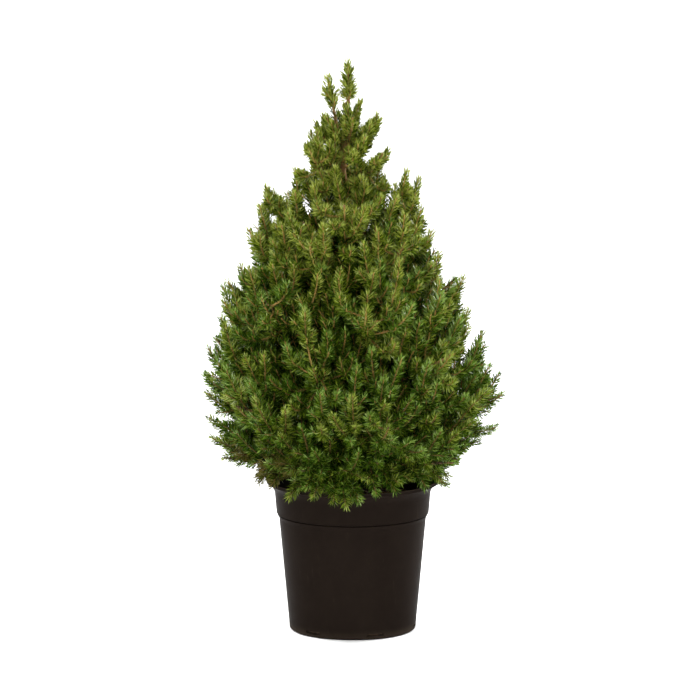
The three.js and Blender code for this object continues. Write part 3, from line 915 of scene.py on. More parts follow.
def old_bark(settings):
    """Scaly bark: grey-brown plates with orange-brown between them."""
    finish = Finish("old_bark")
    inputs = {"Vector": finish.place((1, 1, 0.5)), "Scale": 260.0}
    plates = finish.value("ShaderNodeTexVoronoi", {"feature": "F1"}, inputs)
    grain = finish.noise(700, 5, 0.65, (1, 1, 0.35))
    height = finish.height()
    young = finish.step(finish.noise(60, 3) + finish.step(height, 0.38, 0.54) * 0.6, 0.4, 0.65)
    base = finish.mixed(young, settings.old_bark, settings.young_bark)
    cracks = finish.step(grain + plates * 0.6, 0.45, 1.0) * (1 - young * 0.6)
    colour = finish.mixed(cracks, base, settings.bark_crack)
    return finish.finish(
        Base_Color=colour,
        Roughness=grain * 0.15 + 0.78,
        Specular_IOR_Level=0.25,
        Normal=finish.bump(grain - plates, 0.0007, 0.8),
    )


def twig_bark(settings):
    """Young twig bark: smooth orange-brown, ridged between the needle feet, with painted shade low
    in the crown.
    """
    finish = Finish("twig_bark")
    ridges = finish.noise(900, 3, 0.6, (1, 1, 0.5))
    patches = finish.noise(45, 2)
    height = finish.height()
    lit = finish.mixed(finish.step(patches, 0.35, 0.65), settings.twig_dark, settings.twig_light)
    # Painted shade: from 0.42 m down to 0.2 m the twigs turn to the darker shaded colour.
    base = finish.mixed(finish.step(height, 0.2, 0.42), settings.twig_shaded, lit)
    colour = finish.mixed(finish.step(ridges, 0.5, 0.8) * 0.45, base, settings.bark_crack)
    return finish.finish(
        Base_Color=colour,
        Roughness=ridges * 0.2 + 0.6,
        Specular_IOR_Level=0.08,
        Normal=finish.bump(ridges, 0.0003, 0.7),
    )


def moist_mix(settings):
    """Moist peat and fine bark."""
    finish = Finish("moist_mix")
    crumbs = finish.noise(420, 6, 0.7)
    lumps = finish.noise(90, 3)
    base = finish.mixed(finish.step(lumps, 0.4, 0.65), settings.moist, settings.dry)
    colour = finish.mixed(finish.step(crumbs, 0.55, 0.75) * 0.6, base, settings.fibre)
    return finish.finish(
        Base_Color=colour,
        Roughness=crumbs * 0.1 + 0.85,
        Specular_IOR_Level=0.2,
        Normal=finish.bump(crumbs + lumps, 0.0012, 0.9),
    )


def mix_chip(settings, name, colour, other):
    """Chips of bark and fallen needles on the mix."""
    finish = Finish(name)
    grain = finish.noise(800, 4, 0.6)
    return finish.finish(
        Base_Color=finish.mixed(finish.step(grain, 0.35, 0.7), colour, other),
        Roughness=grain * 0.1 + 0.8,
        Specular_IOR_Level=0.2,
        Normal=finish.bump(grain, 0.0004, 0.7),
    )


def needle_finish(name, colour):
    """One green of the needles. Greens are dealt out spray by spray, so each of them is plain."""
    finish = Finish(name)
    shine = float(np.interp(colour[1], (0.08, 0.28), (0.04, 0.5)))
    return finish.finish(Base_Color=(*colour, 1), Roughness=0.34, Specular_IOR_Level=shine)


# ---- Pot ----
POT_SIDES = 160
FOOT_ROUNDING = 3.5
FOOT_RIM = 16  # how far the flat rim of the underside runs in
INNER_ROUNDING = 2
RIM_ROUNDING = 0.8
MOUTH_ROUNDING = 0.5
FLARE_HEIGHT = 16
GROOVE_DEPTH = 2.4
FIRST_SLOT = 51  # in degrees
SLOT_HALF = 10
SLOT_HEIGHTS = (3.8, 7.2)
SHARP_EDGE = math.radians(40)


def in_mm(settings, *names):
    """Some of the settings' lengths in millimetres."""
    return [getattr(settings, name) / MM for name in names]


def arc(centre, radius, first, last, steps):
    """Profile points on an arc, from one angle to another in degrees."""
    angles = np.radians(np.linspace(first, last, steps + 1))
    return [[centre[0] + radius * math.cos(a), centre[1] + radius * math.sin(a)] for a in angles]


def curve_points(start, bend, end, steps):
    """Profile points on a quadratic curve."""
    start, bend, end = ([*point, 0] for point in (start, bend, end))
    return Bend(start, bend, end).at(np.linspace(0, 1, steps + 1))[:, :2].tolist()


def pot_side(pot):
    """The pot's outer side from the top of the foot's rounding to the underside of the bead."""
    rim, top, bead = in_mm(pot, "rim_radius", "height", "bead_height")
    under, collar, flare = in_mm(
        pot, "wall_top_radius", "collar_foot_radius", "collar_top_radius"
    )
    low, high = in_mm(pot, "wall_top_height", "collar_foot_height")
    groove = collar - GROOVE_DEPTH
    bends = [
        ((under - 0.1, low - 1.2), (under, low), (under + 0.5, low + 1.3), 4),
        ((collar - 1.3, high - 2.4), (collar - 1.1, high - 1.8), (groove, high - 1.6), 3),
        ((groove, high - 0.6), (groove, high - 0.2), (collar - 0.6, high - 0.1), 3),
        ((collar - 0.2, high), (collar, high + 0.1), (collar, high + 0.9), 3),
        ((flare, top - FLARE_HEIGHT), (flare + 1, top - bead - 4), (rim - 1, top - bead), 8),
    ]
    return [point for bend in bends for point in curve_points(*bend)]


def slot_block(azimuth, foot, wall):
    """A block that cuts one slot through the foot of the wall."""
    out, over = outward(azimuth), outward(azimuth + math.pi / 2)
    corners = [
        out * (foot + deep) + over * wide + UP * high
        for deep in (-4 * wall, 2 * wall)
        for wide in (-SLOT_HALF, SLOT_HALF)
        for high in SLOT_HEIGHTS
    ]
    return np.array(corners), [CUBE_FACES]


def make_pot(pot, finish):
    rim, top, foot = in_mm(pot, "rim_radius", "height", "base_radius")
    wall, bead = in_mm(pot, "wall", "bead_height")
    side = pot_side(pot)
    turn, edge, lip = INNER_ROUNDING, RIM_ROUNDING, MOUTH_ROUNDING
    outer = [
        [0, 0],
        [foot - FOOT_RIM, 0],
        *arc([foot - FOOT_ROUNDING, FOOT_ROUNDING], FOOT_ROUNDING, -90, 0, 6),
        *side,
        *arc([rim - edge, top - bead + edge], edge, -60, 0, 3),
        *arc([rim - edge, top - edge], edge, 0, 90, 4),
        *arc([rim - wall + lip, top - lip], lip, 90, 180, 3),
    ]
    inner = [[x - wall, y] for x, y in reversed(side)]
    floor = [*arc([foot - wall - turn, wall + turn], turn, 0, -90, 4), [0, wall]]
    piece = new_piece("pot_shell", *turned([*outer, *inner, *floor], POT_SIDES), [finish])
    azimuths = [math.radians(FIRST_SLOT + 360 * n / pot.slots) for n in range(pot.slots)]
    blocks = [slot_block(azimuth, foot, wall) for azimuth in azimuths]
    cutter = new_piece("slot_cutter", *joined(blocks), [], smooth=False)
    cut = piece.modifiers.new("slots", "BOOLEAN")
    cut.operation, cut.solver, cut.object = "DIFFERENCE", "EXACT", cutter
    apply_modifiers(piece)
    bpy.data.objects.remove(cutter)
    piece.data.polygons.foreach_set("use_smooth", np.full(len(piece.data.polygons), True))
    piece.data.set_sharp_from_angle(angle=SHARP_EDGE)
    return piece


def apply_modifiers(piece):
    """Replaces the piece's mesh with the result of its modifiers."""
    bpy.context.view_layer.update()
    result = piece.evaluated_get(bpy.context.evaluated_depsgraph_get())
    mesh = bpy.data.meshes.new_from_object(result)
    piece.modifiers.clear()
    piece.data = mesh


# ---- Potting mix ----
MIX_SIDES = 170
MIX_RINGS = 54  # across its top
MOUND_HEIGHT = 1.6
MOUND_RADIUS = 26
SUNK = 0.8
CHIPS_REACH = 80
# Half the length, width and thickness of a bark chip and of a fallen needle.
CHIP_LEAST, CHIP_MOST = (1.4, 1, 0.5), (4.2, 2.6, 1.3)
CHIP_SCATTER = (0.6, 1.2)
FALLEN_LENGTH = (4, 5.5)
FALLEN_THIN = (0.5, 0.4)
CHIPS_TO_FALLEN = 3  # each third one is a fallen needle


def make_mix(mix, pot, finish):
    """The mix fills the pot. Its top is lumpy, and rises a little towards the trunk."""
    wall, foot = in_mm(pot, "wall", "base_radius")
    wall += GAP
    side = [[x - wall, y] for x, y in pot_side(pot) if y < MIX_TOP - 3]
    edge = between([[y, x] for x, y in pot_side(pot)], MIX_TOP) - wall
    profile = [
        [0, wall],
        [foot - wall - 2.3, wall],
        [foot - wall, wall + 2.2],
        *side,
        *[[radius, MIX_TOP] for radius in np.linspace(edge, 1.5, MIX_RINGS)],
        [0, MIX_TOP],
    ]
    points, faces = turned(profile, MIX_SIDES)
    top = points[:, 2] > MIX_TOP - 0.1
    away = np.hypot(points[:, 0], points[:, 1])
    lumps = relief(points, 9) + 0.55 * relief(points, 4, 3) + 0.3 * relief(points, 1.8, 4)
    rise = MOUND_HEIGHT * np.exp(-((away / MOUND_RADIUS) ** 2)) - SUNK
    lift = rise + mix.lumps / MM * lumps
    points[:, 2] += np.where(top, lift * np.clip((edge - away) / 3, 0, 1) - 0.4, 0)
    return new_piece("potting_mix_fill", points, faces, [finish])


def turned_by(points, angle, first, second):
    """Points turned by an angle in the plane of two of the axes."""
    turn = np.eye(3)
    turn[first, first] = turn[second, second] = math.cos(angle)
    turn[first, second], turn[second, first] = math.sin(angle), -math.sin(angle)
    return points @ turn


def make_chips(mix, finishes):
    """Chips of bark, and fallen needles, that lie on the mix."""
    draws = np.random.default_rng(RELIEF_SEED)
    parts, dealt = [], []
    for n in range(mix.chips):
        fallen = n % CHIPS_TO_FALLEN == 0
        if fallen:
            shape = CUBE * [draws.uniform(*FALLEN_LENGTH), *FALLEN_THIN]
        else:
            shape = CUBE * draws.uniform(CHIP_LEAST, CHIP_MOST)
            shape = shape * draws.uniform(*CHIP_SCATTER, (len(CUBE), 1))
        turn, tilt = draws.uniform(0, FULL_TURN), draws.normal(0, 0.22)
        shape = turned_by(turned_by(shape, tilt, 0, 2), turn, 0, 1)
        away = CHIPS_REACH * math.sqrt(draws.uniform(0.03, 1))
        place = outward(draws.uniform(0, FULL_TURN)) * away
        place = place + UP * (MIX_TOP + draws.uniform(0.2, 1.4))
        parts.append((shape + place, [CUBE_FACES]))
        dealt.append(2 if fallen else int(draws.integers(0, 2)))
    dealt = np.repeat(dealt, len(CUBE_FACES))
    return new_piece("mix_chips", *joined(parts), finishes, dealt, smooth=False)


# ---- Wood ----
TRUNK_RINGS, TRUNK_SIDES = 250, 26
BOUGH_SIDES = 12
BOUGH_RING = 2.6  # from one ring to the next
LIMB_ROOTS = [(450, 3.2), (600, 1.9)]  # radius of the limbs that aren't boughs
LIMB_END = 1.2
TRUNK_SUNK = 3  # into the mix
SWELLING, SWELLING_HEIGHT = 0.9, 6
TWIG_TAPER = (1.15, 0.75)  # radius at the root and at the end
SHOOT_TAPER = (1.3, 0.7)  # share of the shoot's own radius
PLATES, CRACKS = 0.09, 0.12  # share of the radius
CRACK_WIDTH = 0.35


def scaly(lines, radii, sides, coarse):
    """Radii for a tube's rings and sides, with bark plates and cracks."""
    places = np.repeat(lines[:, :, None], sides, axis=2)
    places[..., :2] += coarse * np.stack(ring_turns(sides), axis=1)
    plates = relief(places * [1, 1, 0.45], 2.6) + 0.5 * relief(places, 1.1, 5)
    cracks = np.abs(relief(places * [1, 1, 0.3], 3.4, 6))
    depth = CRACKS * np.clip(CRACK_WIDTH - cracks, 0, 1) / CRACK_WIDTH
    return radii[..., None] * (1 + PLATES * plates - depth)


def make_trunk(finish):
    """The trunk from the mix to its tip, with a swelling at the foot of each limb."""
    shares = np.linspace(0, 1, TRUNK_RINGS)
    line = trunk_line()[(shares * (len(trunk_line()) - 1)).astype(int)]
    line[0, 2] -= TRUNK_SUNK
    radii = trunk_radius(shares)
    for mass in crown()[1:]:
        above = line[:, 2] - mass.limb.at(0.03)[2]
        radii += SWELLING * np.exp(-((above / SWELLING_HEIGHT) ** 2))
    skins = scaly(line[None], radii[None], TRUNK_SIDES, TRUNK_FOOT_RADIUS)
    return new_piece("trunk_bark", *tubes(line[None], skins, TRUNK_SIDES), [finish])


def make_boughs(finish):
    """Every limb from the trunk out: the bare bough, and the stem that runs on in its mass."""
    parts = []
    for mass in crown():
        limb = mass.limb
        shares = np.linspace(0, 0.97, max(10, int(limb.length / BOUGH_RING)))
        root = BOUGH_ROOT_RADIUS if mass.is_bough else between(LIMB_ROOTS, limb.start[2])
        radii = root + (LIMB_END - root) * shares**0.8
        radii += 0.35 * root * np.exp(-shares * limb.length / 9)
        line = limb.at(shares)[None]
        skins = scaly(line, radii[None], BOUGH_SIDES, STEM_RADIUS)
        parts.append(tubes(line, skins, BOUGH_SIDES))
    return new_piece("bough_bark", *joined(parts), [finish])


def in_groups(sizes):
    """Masses in order, in groups whose triangles stay under the most that one piece may have."""
    groups, total = [[]], 0
    for owner, size in enumerate(sizes):
        if total + size > MOST_TRIANGLES:
            groups.append([])
            total = 0
        groups[-1].append(owner)
        total += size
    return groups


def foliage_names(owners):
    """Names of the masses' nodes."""
    return [f"foliage_{crown()[owner].name}" for owner in owners]


def column(items, name):
    """One value of each item, as an array."""
    return np.array([getattr(item, name) for item in items])


def make_twigs(finish):
    """Twigs from each stem to its plumes, and the fine shoots' own stems."""
    parts = [[] for _ in crown()]
    for owner in range(len(parts)):
        along = np.linspace(0, 0.97, 8)
        lines = [curve.at(along) for mass, curve in grown().twigs if mass == owner]
        if lines:
            radii = np.tile(np.linspace(*TWIG_TAPER, 8), (len(lines), 1))
            parts[owner].append(tubes(np.array(lines), radii, 5))
        own = [shoot for shoot in grown().shoots if shoot.mass == owner]
        lines = np.array([shoot.curve.at(np.linspace(0, 1, 5)) for shoot in own])
        radii = column(own, "radius")[:, None] * np.linspace(*SHOOT_TAPER, 5)
        parts[owner].append(tubes(lines, radii, 4))
    sizes = [sum(2 * len(faces[0]) + len(faces[1]) for _, faces in own) for own in parts]
    for n, owners in enumerate(in_groups(sizes)):
        skins = joined([part for owner in owners for part in parts[owner]])
        yield new_piece(f"twigs_{n + 1}", *skins, [finish]), foliage_names(owners)


# ---- Needles ----
# Painted light and shade: these set how a shoot's light, from its depth in the crown and its
# height, picks a lighter or darker green.
LIGHT_GAIN = 1.1
SHOOTS_DARKER = 0.3
TWIGS_DARKER = 0.36
DENSITY = (0.35, 0.75)  # in the dark, and what full light adds
NEEDLE_LENGTHS = (0.78, 1.06)
LIFT = 0.06  # a needle's own turn upwards
TIPWARDS = 0.16  # and towards the shoot's tip in its outer half
WIDEST = 0.46  # share of a needle's length where it is widest
NEEDLE_FACES = np.array([[0, 3, 1], [0, 2, 3]])

Stretch = namedtuple(
    "Stretch", "mass curve first last density stem size green tipped", defaults=[False]
)


def in_dry_patch(place):
    """Whether a place is in the browning patch of the lowest tier."""
    patch = SimpleNamespace(**DRY_PATCH)
    return place[2] < patch.top and patch.left < place[0] < patch.right and place[1] < patch.back


def green_for(light, brightest):
    """How far from the deep green the needles of a shoot in this light are."""
    return int(np.clip(math.floor(light * LIGHT_TO_GREEN), 0, brightest))


def needle_stretches():
    """Stretches of shoot, twig and stem that bear needles."""
    draws = np.random.default_rng(NEEDLE_SEED)
    rows = []
    for shoot in grown().shoots:
        tip = shoot.curve.end
        light = LIGHT_GAIN * shoot.light - SHOOTS_DARKER + between(LIGHT_BY_HEIGHT, tip[2])
        light += draws.normal(0, 0.05)
        is_dry = in_dry_patch(tip) and draws.uniform() < DRY_CHANCE
        chance = draws.uniform()
        cool = chance < between(COOL_SHARE, tip[2])
        sunny = chance > 1 - between(SUNNY_SHARE, tip[2])
        green = green_for(light, 3) + (COOL if cool else SUNNY if sunny else PLAIN)
        green = DRY if is_dry else green
        density = float(np.clip(DENSITY[0] + DENSITY[1] * shoot.light, 0.5, 1))
        own = (shoot.radius, shoot.size, green, True)
        rows.append(Stretch(shoot.mass, shoot.curve, 0.02, 1.0, density, *own))
    for owner, curve in grown().twigs:
        light = LIGHT_GAIN * light_at(curve.at(0.7)) - TWIGS_DARKER
        light += between(LIGHT_BY_HEIGHT, curve.end[2])
        own = {"density": 0.75, "stem": 1.1, "size": 0.92, "green": green_for(light, 2)}
        rows.append(Stretch(owner, curve, 0.15, 0.9, **own))
    for owner, mass in enumerate(crown()):
        own = {"density": 0.5, "stem": 2.2, "size": 0.85, "green": 0}
        rows.append(Stretch(owner, mass.stem, 0.3, 0.85, **own))
    top = Bend(*(trunk_at(height) for height in (535, 570, TRUNK_TIP)))
    rows.append(Stretch(0, top, 0, 1, density=0.8, stem=2, size=0.8, green=2))
    return rows


def needle_points(rows, needles):
    """Needles all round the stretches: slim folded spindles, bent towards the shoot's tip."""
    draws = np.random.default_rng(NEEDLE_SEED + rows[0].mass)
    curves = column(rows, "curve")
    starts, bends, ends = (column(curves, name) for name in ("start", "bend", "end"))
    first, last = column(rows, "first"), column(rows, "last")
    lengths = column(curves, "length") * (last - first)
    counts = (lengths * column(rows, "density") / (needles.spacing / MM)).astype(int)
    counts = np.maximum(3, counts)
    row = np.repeat(np.arange(len(rows)), counts)
    order = np.arange(counts.sum()) - np.repeat(np.cumsum(counts) - counts, counts)
    share = (order + draws.uniform(0.1, 0.9, len(row))) / counts[row]
    at = (first[row] + (last - first)[row] * share)[:, None]
    foot = (1 - at) ** 2 * starts[row] + 2 * (1 - at) * at * bends[row] + at**2 * ends[row]
    way = unit((1 - at) * (bends - starts)[row] + at * (ends - bends)[row])
    across = unit(np.cross(way, SKEW))
    over = np.cross(way, across)
    turn = (order * GOLDEN_ANGLE + 1.7 * row + draws.normal(0, 0.25, len(row)))[:, None]
    side = across * np.cos(turn) + over * np.sin(turn)
    lean = between(NEEDLE_LEAN, share) * between(LEAN_BY_HEIGHT, foot[:, 2])
    lean = np.radians(lean + draws.normal(0, LEAN_SCATTER, len(row)))[:, None]
    ahead = unit(way * np.cos(lean) + side * np.sin(lean) + LIFT * UP)
    length = needles.length / MM * column(rows, "size")[row] * between(NEEDLE_FULL, share)
    length = (length * draws.uniform(*NEEDLE_LENGTHS, len(row)))[:, None]
    foot = foot + side * (column(rows, "stem")[row] * 0.5)[:, None]
    middle = foot + ahead * length * WIDEST
    tip = foot + unit(ahead + TIPWARDS * way) * length
    flat = unit(np.cross(ahead, side + 1e-3 * UP))
    roll = draws.uniform(0, math.pi, len(row))[:, None]
    flat = flat * np.cos(roll) + np.cross(ahead, flat) * np.sin(roll)
    thick = np.cross(ahead, flat)
    half = needles.width / MM / 2
    corners = [middle + (flat * edge - thick * NEEDLE_FOLD) * half for edge in (-1, 1)]
    return np.stack([foot, *corners, tip], axis=1), row, share


def make_needles(needles, finishes):
    rows = needle_stretches()
    made = []
    for owner in range(len(crown())):
        own = [row for row in rows if row.mass == owner]
        points, row, share = needle_points(own, needles)
        sets, greens = np.divmod(column(own, "green")[row], len(GREENS))
        fresh = column(own, "tipped")[row] & (share > FRESH_FROM)
        odd = np.random.default_rng(owner).choice([-2, -1, 0, 1, 2], len(row), p=ODD_NEEDLES)
        greens = np.clip(greens + fresh + odd, 0, len(GREENS) - 1) + len(GREENS) * sets
        made.append((points, np.minimum(greens, DRY)))
    for n, owners in enumerate(in_groups([len(points) * len(NEEDLE_FACES) for points, _ in made])):
        points = np.concatenate([made[owner][0] for owner in owners])
        greens = np.concatenate([made[owner][1] for owner in owners])
        faces = (NEEDLE_FACES + 4 * np.arange(len(points))[:, None, None]).reshape(-1, 3)
        dealt = np.repeat(greens, len(NEEDLE_FACES))
        piece = new_piece(f"needles_{n + 1}", points.reshape(-1, 3), [faces], finishes, dealt)
        yield piece, foliage_names(owners)


# ---- Settings ----
def setting(kind, **limits):
    """A maker of one kind of setting, which takes a name, a description and a default."""
    return lambda name, description, default: kind(
        name=name, description=description, default=default, **limits
    )


length = setting(bpy.props.FloatProperty, min=0.0, unit="LENGTH")
angle = setting(bpy.props.FloatProperty, subtype="ANGLE")
strength = setting(bpy.props.FloatProperty, min=0.0)
number = setting(bpy.props.IntProperty, min=0)
cast = setting(bpy.props.FloatVectorProperty, min=0.0)
colour = setting(bpy.props.FloatVectorProperty, min=0.0, max=1.0, subtype="COLOR")


class SprucePot(bpy.types.PropertyGroup):
    """Sizes and colours of the pot."""

    height: length("Height", "From the underside to the top of the bead", float(POT_TOP[2]) * MM)
    rim_radius: length("Rim radius", "Outer radius of the bead", float(POT_TOP[0]) * MM)
    base_radius: length("Base radius", "Outer radius above the foot's rounding", 0.0723)
    wall: length("Wall", "Thickness of the wall and floor", 0.0018)
    bead_height: length("Bead", "Height of the bead round the mouth", 0.004)
    wall_top_radius: length("Wall top radius", "Outer radius under the collar's step", 0.084)
    wall_top_height: length("Wall top height", "Height of the step's foot", 0.1295)
    collar_foot_radius: length("Collar foot radius", "Outer radius where the collar begins", 0.0872)
    collar_foot_height: length("Collar foot height", "Height of the step's top", 0.1355)
    collar_top_radius: length("Collar top radius", "Outer radius where the rim flares out", 0.089)
    slots: number("Drain slots", "Slots round the foot", 6)
    plastic: colour("Plastic", "Colour of the moulded plastic", (0.008, 0.0054, 0.0043))
    # The pale colour of the scuffs and dusting, which also paints the highlight along the top of
    # the rim.
    dust: colour("Dust", "Colour of the dust and scuffs", (0.062, 0.046, 0.032))


class SpruceMix(bpy.types.PropertyGroup):
    """Sizes and colours of the potting mix."""

    lumps: length("Lumps", "Height of the lumps on its surface", 0.0012)
    chips: number("Chips", "Chips and fallen needles", 700)
    moist: colour("Moist mix", "Colour of the moist mix", (0.018, 0.011, 0.007))
    dry: colour("Dry mix", "Colour of the dry crumbs", (0.05, 0.032, 0.02))
    fibre: colour("Fibre", "Colour of the fibres", (0.14, 0.09, 0.05))
    chip: colour("Bark chip", "Colour of the bark chips", (0.09, 0.045, 0.022))
    fallen: colour("Fallen needle", "Colour of the fallen needles", (0.3, 0.19, 0.08))


class SpruceWood(bpy.types.PropertyGroup):
    """Colours of the bark."""

    old_bark: colour("Old bark", "Colour of the trunk's scales", (0.17, 0.11, 0.06))
    young_bark: colour("Young bark", "Colour of the younger bark", (0.4, 0.23, 0.09))
    bark_crack: colour("Cracks", "Colour in the cracks", (0.045, 0.026, 0.015))
    twig_shaded: colour("Shaded twigs", "Colour of the twigs low in the crown", (0.15, 0.1, 0.032))
    twig_dark: colour("Older twigs", "Colour of the older twigs", (0.34, 0.205, 0.062))
    twig_light: colour("Young twigs", "Colour of the youngest twigs", (0.5, 0.31, 0.1))


class SpruceNeedles(bpy.types.PropertyGroup):
    """Sizes and colours of the needles."""

    length: length("Length", "Length of a needle in the middle of a shoot", 0.0112)
    width: length("Width", "Width of a needle", 0.00135)
    spacing: length("Spacing", "Length of shoot for each needle", 0.00033)
    # From deep to bright, the greens are lit and shaded copies dealt by each shoot's light: painted
    # shade deep in the crown, painted light on the outer shoots. The deep green is also the old
    # needles along the stems.
    deep: colour("Deep green", "Old needles inside the crown", (0.024, 0.046, 0.002))
    dark: colour("Dark green", "Needles of shaded shoots", (0.04, 0.076, 0.003))
    middle: colour("Middle green", "Needles of the outer shoots", (0.085, 0.132, 0.005))
    bright: colour("Bright green", "Needles of the lit shoots", (0.155, 0.212, 0.012))
    fresh: colour("Fresh green", "The newest needles at the shoots' tips", (0.275, 0.34, 0.045))
    cool: cast("Cool cast", "What turns these greens into the cool ones", (0.76, 0.96, 1.1))
    # Painted light: the sunny cast makes lighter copies of the greens for the top of the crown.
    sunny: cast("Sunny cast", "What turns them into the sunny ones of the top", (1.2, 1.12, 1.2))
    dry: colour("Dry green", "Browning needles in the lowest tier", (0.12, 0.11, 0.02))


class SpruceStage(bpy.types.PropertyGroup):
    """Floor, light and camera."""

    floor: colour("Floor", "Colour of the floor", (0.92, 0.92, 0.92))
    sky: strength("Sky", "Strength of the even light", 0.52)
    distance: length("Distance", "From the camera to the plant", 8.0)
    look_height: length("Look height", "Height that the camera looks at", 0.323)
    view_width: length("View width", "Width of the view at the plant", 0.798)
    elevation: angle("Elevation", "Camera's angle above level", math.radians(9.5))


# ---- Operators ----
class SPRUCE_OT_pot(bpy.types.Operator):
    """Make the nursery pot"""

    bl_idname = "spruce.pot"
    bl_label = "Pot"

    def execute(self, context):
        pot = context.scene.spruce_pot
        keep_in_body(make_pot(pot, pot_plastic(pot)), "pot", "pot")
        return {"FINISHED"}


class SPRUCE_OT_mix(bpy.types.Operator):
    """Fill the pot with potting mix"""

    bl_idname = "spruce.mix"
    bl_label = "Potting mix"

    def execute(self, context):
        mix, pot = context.scene.spruce_mix, context.scene.spruce_pot
        keep_in_body(make_mix(mix, pot, moist_mix(mix)), "potting_mix", "potting_mix")
        finishes = [
            mix_chip(mix, "bark_chip", mix.chip, mix.moist),
            mix_chip(mix, "peat_chip", mix.dry, mix.fibre),
            mix_chip(mix, "fallen_needle", mix.fallen, mix.chip),
        ]
        keep_in_body(make_chips(mix, finishes), "potting_mix", "potting_mix")
        return {"FINISHED"}


class SPRUCE_OT_wood(bpy.types.Operator):
    """Grow the trunk and boughs with their bark"""

    bl_idname = "spruce.wood"
    bl_label = "Trunk and boughs"

    def execute(self, context):
        bark = old_bark(context.scene.spruce_wood)
        keep_in_body(make_trunk(bark), "bark", "trunk")
        boughs = [f"bough_{mass.name}" for mass in crown() if mass.is_bough]
        keep_in_body(make_boughs(bark), "bark", *boughs)
        return {"FINISHED"}


class SPRUCE_OT_twigs(bpy.types.Operator):
    """Grow the twigs and fine shoots"""

    bl_idname = "spruce.twigs"
    bl_label = "Twigs"

    def execute(self, context):
        for piece, names in make_twigs(twig_bark(context.scene.spruce_wood)):
            keep_in_body(piece, "bark", *names)
        return {"FINISHED"}


class SPRUCE_OT_needles(bpy.types.Operator):
    """Cover the shoots with needles"""

    bl_idname = "spruce.needles"
    bl_label = "Needles"

    def execute(self, context):
        needles = context.scene.spruce_needles
        casts = {"": (1, 1, 1), "cool_": needles.cool, "sunny_": needles.sunny}
        greens = {
            prefix + name: [a * b for a, b in zip(getattr(needles, name), factors)]
            for prefix, factors in casts.items()
            for name in GREENS
        }
        greens["dry"] = needles.dry
        finishes = [needle_finish(f"{name}_needles", green) for name, green in greens.items()]
        for piece, names in make_needles(needles, finishes):
            keep_in_body(piece, "needles", *names)
        return {"FINISHED"}


# ---- Stage ----
FLOOR_HALF = 30 / MM
FLOOR_DOWN = 0.3
# Name, strength, spread in degrees and place of each sun. They shine at the foot of the pot.
SUNS = [
    ("sun", 1.9, 22, (-0.55, -1.5, 2.4)),
    ("rim_left", 4.6, 30, (-1.8, 1.5, 1.3)),
    ("rim_right", 5.3, 30, (1.8, 1.4, 1.3)),
]
FILL = {"energy": 6, "size": 1.6}
FILL_PLACE, FILL_AIM = (2.0, -1.8, 1.2), (0, 0, 0.35)
SENSOR_WIDTH = 36
VIEW_MIDDLE = -0.003  # how far right of the pot's middle the camera looks


def add_lamp(name, kind, place, aim, **settings):
    data = bpy.data.lights.new(name, kind)
    for key, given in settings.items():
        setattr(data, key, given)
    lamp = bpy.data.objects.new(name, data)
    lamp.location = place
    look_at(lamp, aim)
    bpy.context.scene.collection.objects.link(lamp)


def look_at(item, aim):
    way = np.array(aim) - np.array(item.location)
    item.rotation_euler = Vector(way).to_track_quat("-Z", "Y").to_euler()


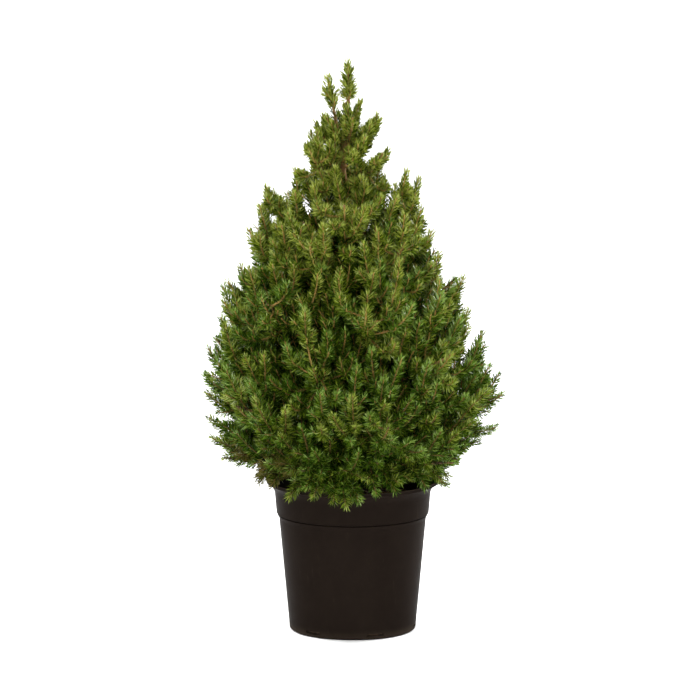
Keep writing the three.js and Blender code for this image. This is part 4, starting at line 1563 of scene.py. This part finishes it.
class SPRUCE_OT_stage(bpy.types.Operator):
    """Set up the floor, the light and the camera"""

    bl_idname = "spruce.stage"
    bl_label = "Stage"

    def execute(self, context):
        scene, stage = context.scene, context.scene.spruce_stage
        finish = Finish("pale_floor")
        finish.finish(Base_Color=(*stage.floor, 1), Roughness=0.9, Specular_IOR_Level=0.1)
        sides = [(-1, -1), (1, -1), (1, 1), (-1, 1)]
        corners = [[x * FLOOR_HALF, y * FLOOR_HALF, -FLOOR_DOWN] for x, y in sides]
        faces = [np.array([[0, 1, 2, 3]])]
        new_piece("floor", np.array(corners), faces, [finish.material], smooth=False)
        world = bpy.data.worlds.new("studio")
        world.use_nodes = True
        background = world.node_tree.nodes["Background"]
        background.inputs["Color"].default_value = (1, 1, 1, 1)
        background.inputs["Strength"].default_value = stage.sky
        scene.world = world
        for name, energy, spread, place in SUNS:
            add_lamp(name, "SUN", place, (0, 0, 0), energy=energy, angle=math.radians(spread))
        add_lamp("fill", "AREA", FILL_PLACE, FILL_AIM, **FILL)
        data = bpy.data.cameras.new("camera")
        data.sensor_width = SENSOR_WIDTH
        data.lens = data.sensor_width * stage.distance / stage.view_width
        data.clip_end = 100
        camera = bpy.data.objects.new("camera", data)
        aim = np.array([VIEW_MIDDLE, 0, stage.look_height])
        back = np.array([0, -math.cos(stage.elevation), math.sin(stage.elevation)])
        camera.location = aim + back * stage.distance
        look_at(camera, aim)
        scene.collection.objects.link(camera)
        scene.camera = camera
        scene.view_settings.view_transform = "Standard"
        return {"FINISHED"}


# ---- Panel and registering ----
class SPRUCE_PT_panel(bpy.types.Panel):
    """Lists the steps of making the plant"""

    bl_idname = "SPRUCE_PT_panel"
    bl_label = "Potted Spruce"
    bl_space_type = "VIEW_3D"
    bl_region_type = "UI"
    bl_category = "Spruce"

    def draw(self, context):
        for operator in OPERATORS:
            self.layout.operator(operator.bl_idname)
        for group in GROUPS:
            settings = getattr(context.scene, group)
            box = self.layout.box()
            box.label(text=group)
            for name in settings.__annotations__:
                box.prop(settings, name)


GROUPS = {
    "spruce_pot": SprucePot,
    "spruce_mix": SpruceMix,
    "spruce_wood": SpruceWood,
    "spruce_needles": SpruceNeedles,
    "spruce_stage": SpruceStage,
}
OPERATORS = (
    SPRUCE_OT_pot, SPRUCE_OT_mix, SPRUCE_OT_wood,
    SPRUCE_OT_twigs, SPRUCE_OT_needles, SPRUCE_OT_stage,
)


def register():
    for group in (*GROUPS.values(), *OPERATORS, SPRUCE_PT_panel):
        bpy.utils.register_class(group)
    for name, group in GROUPS.items():
        setattr(bpy.types.Scene, name, bpy.props.PointerProperty(type=group))


def unregister():
    for name in GROUPS:
        delattr(bpy.types.Scene, name)
    for group in reversed((*GROUPS.values(), *OPERATORS, SPRUCE_PT_panel)):
        bpy.utils.unregister_class(group)


def main():
    register()
    bpy.ops.spruce.pot()
    bpy.ops.spruce.mix()
    bpy.ops.spruce.wood()
    bpy.ops.spruce.twigs()
    bpy.ops.spruce.needles()
    bpy.ops.spruce.stage()


if __name__ == "__main__":
    main()
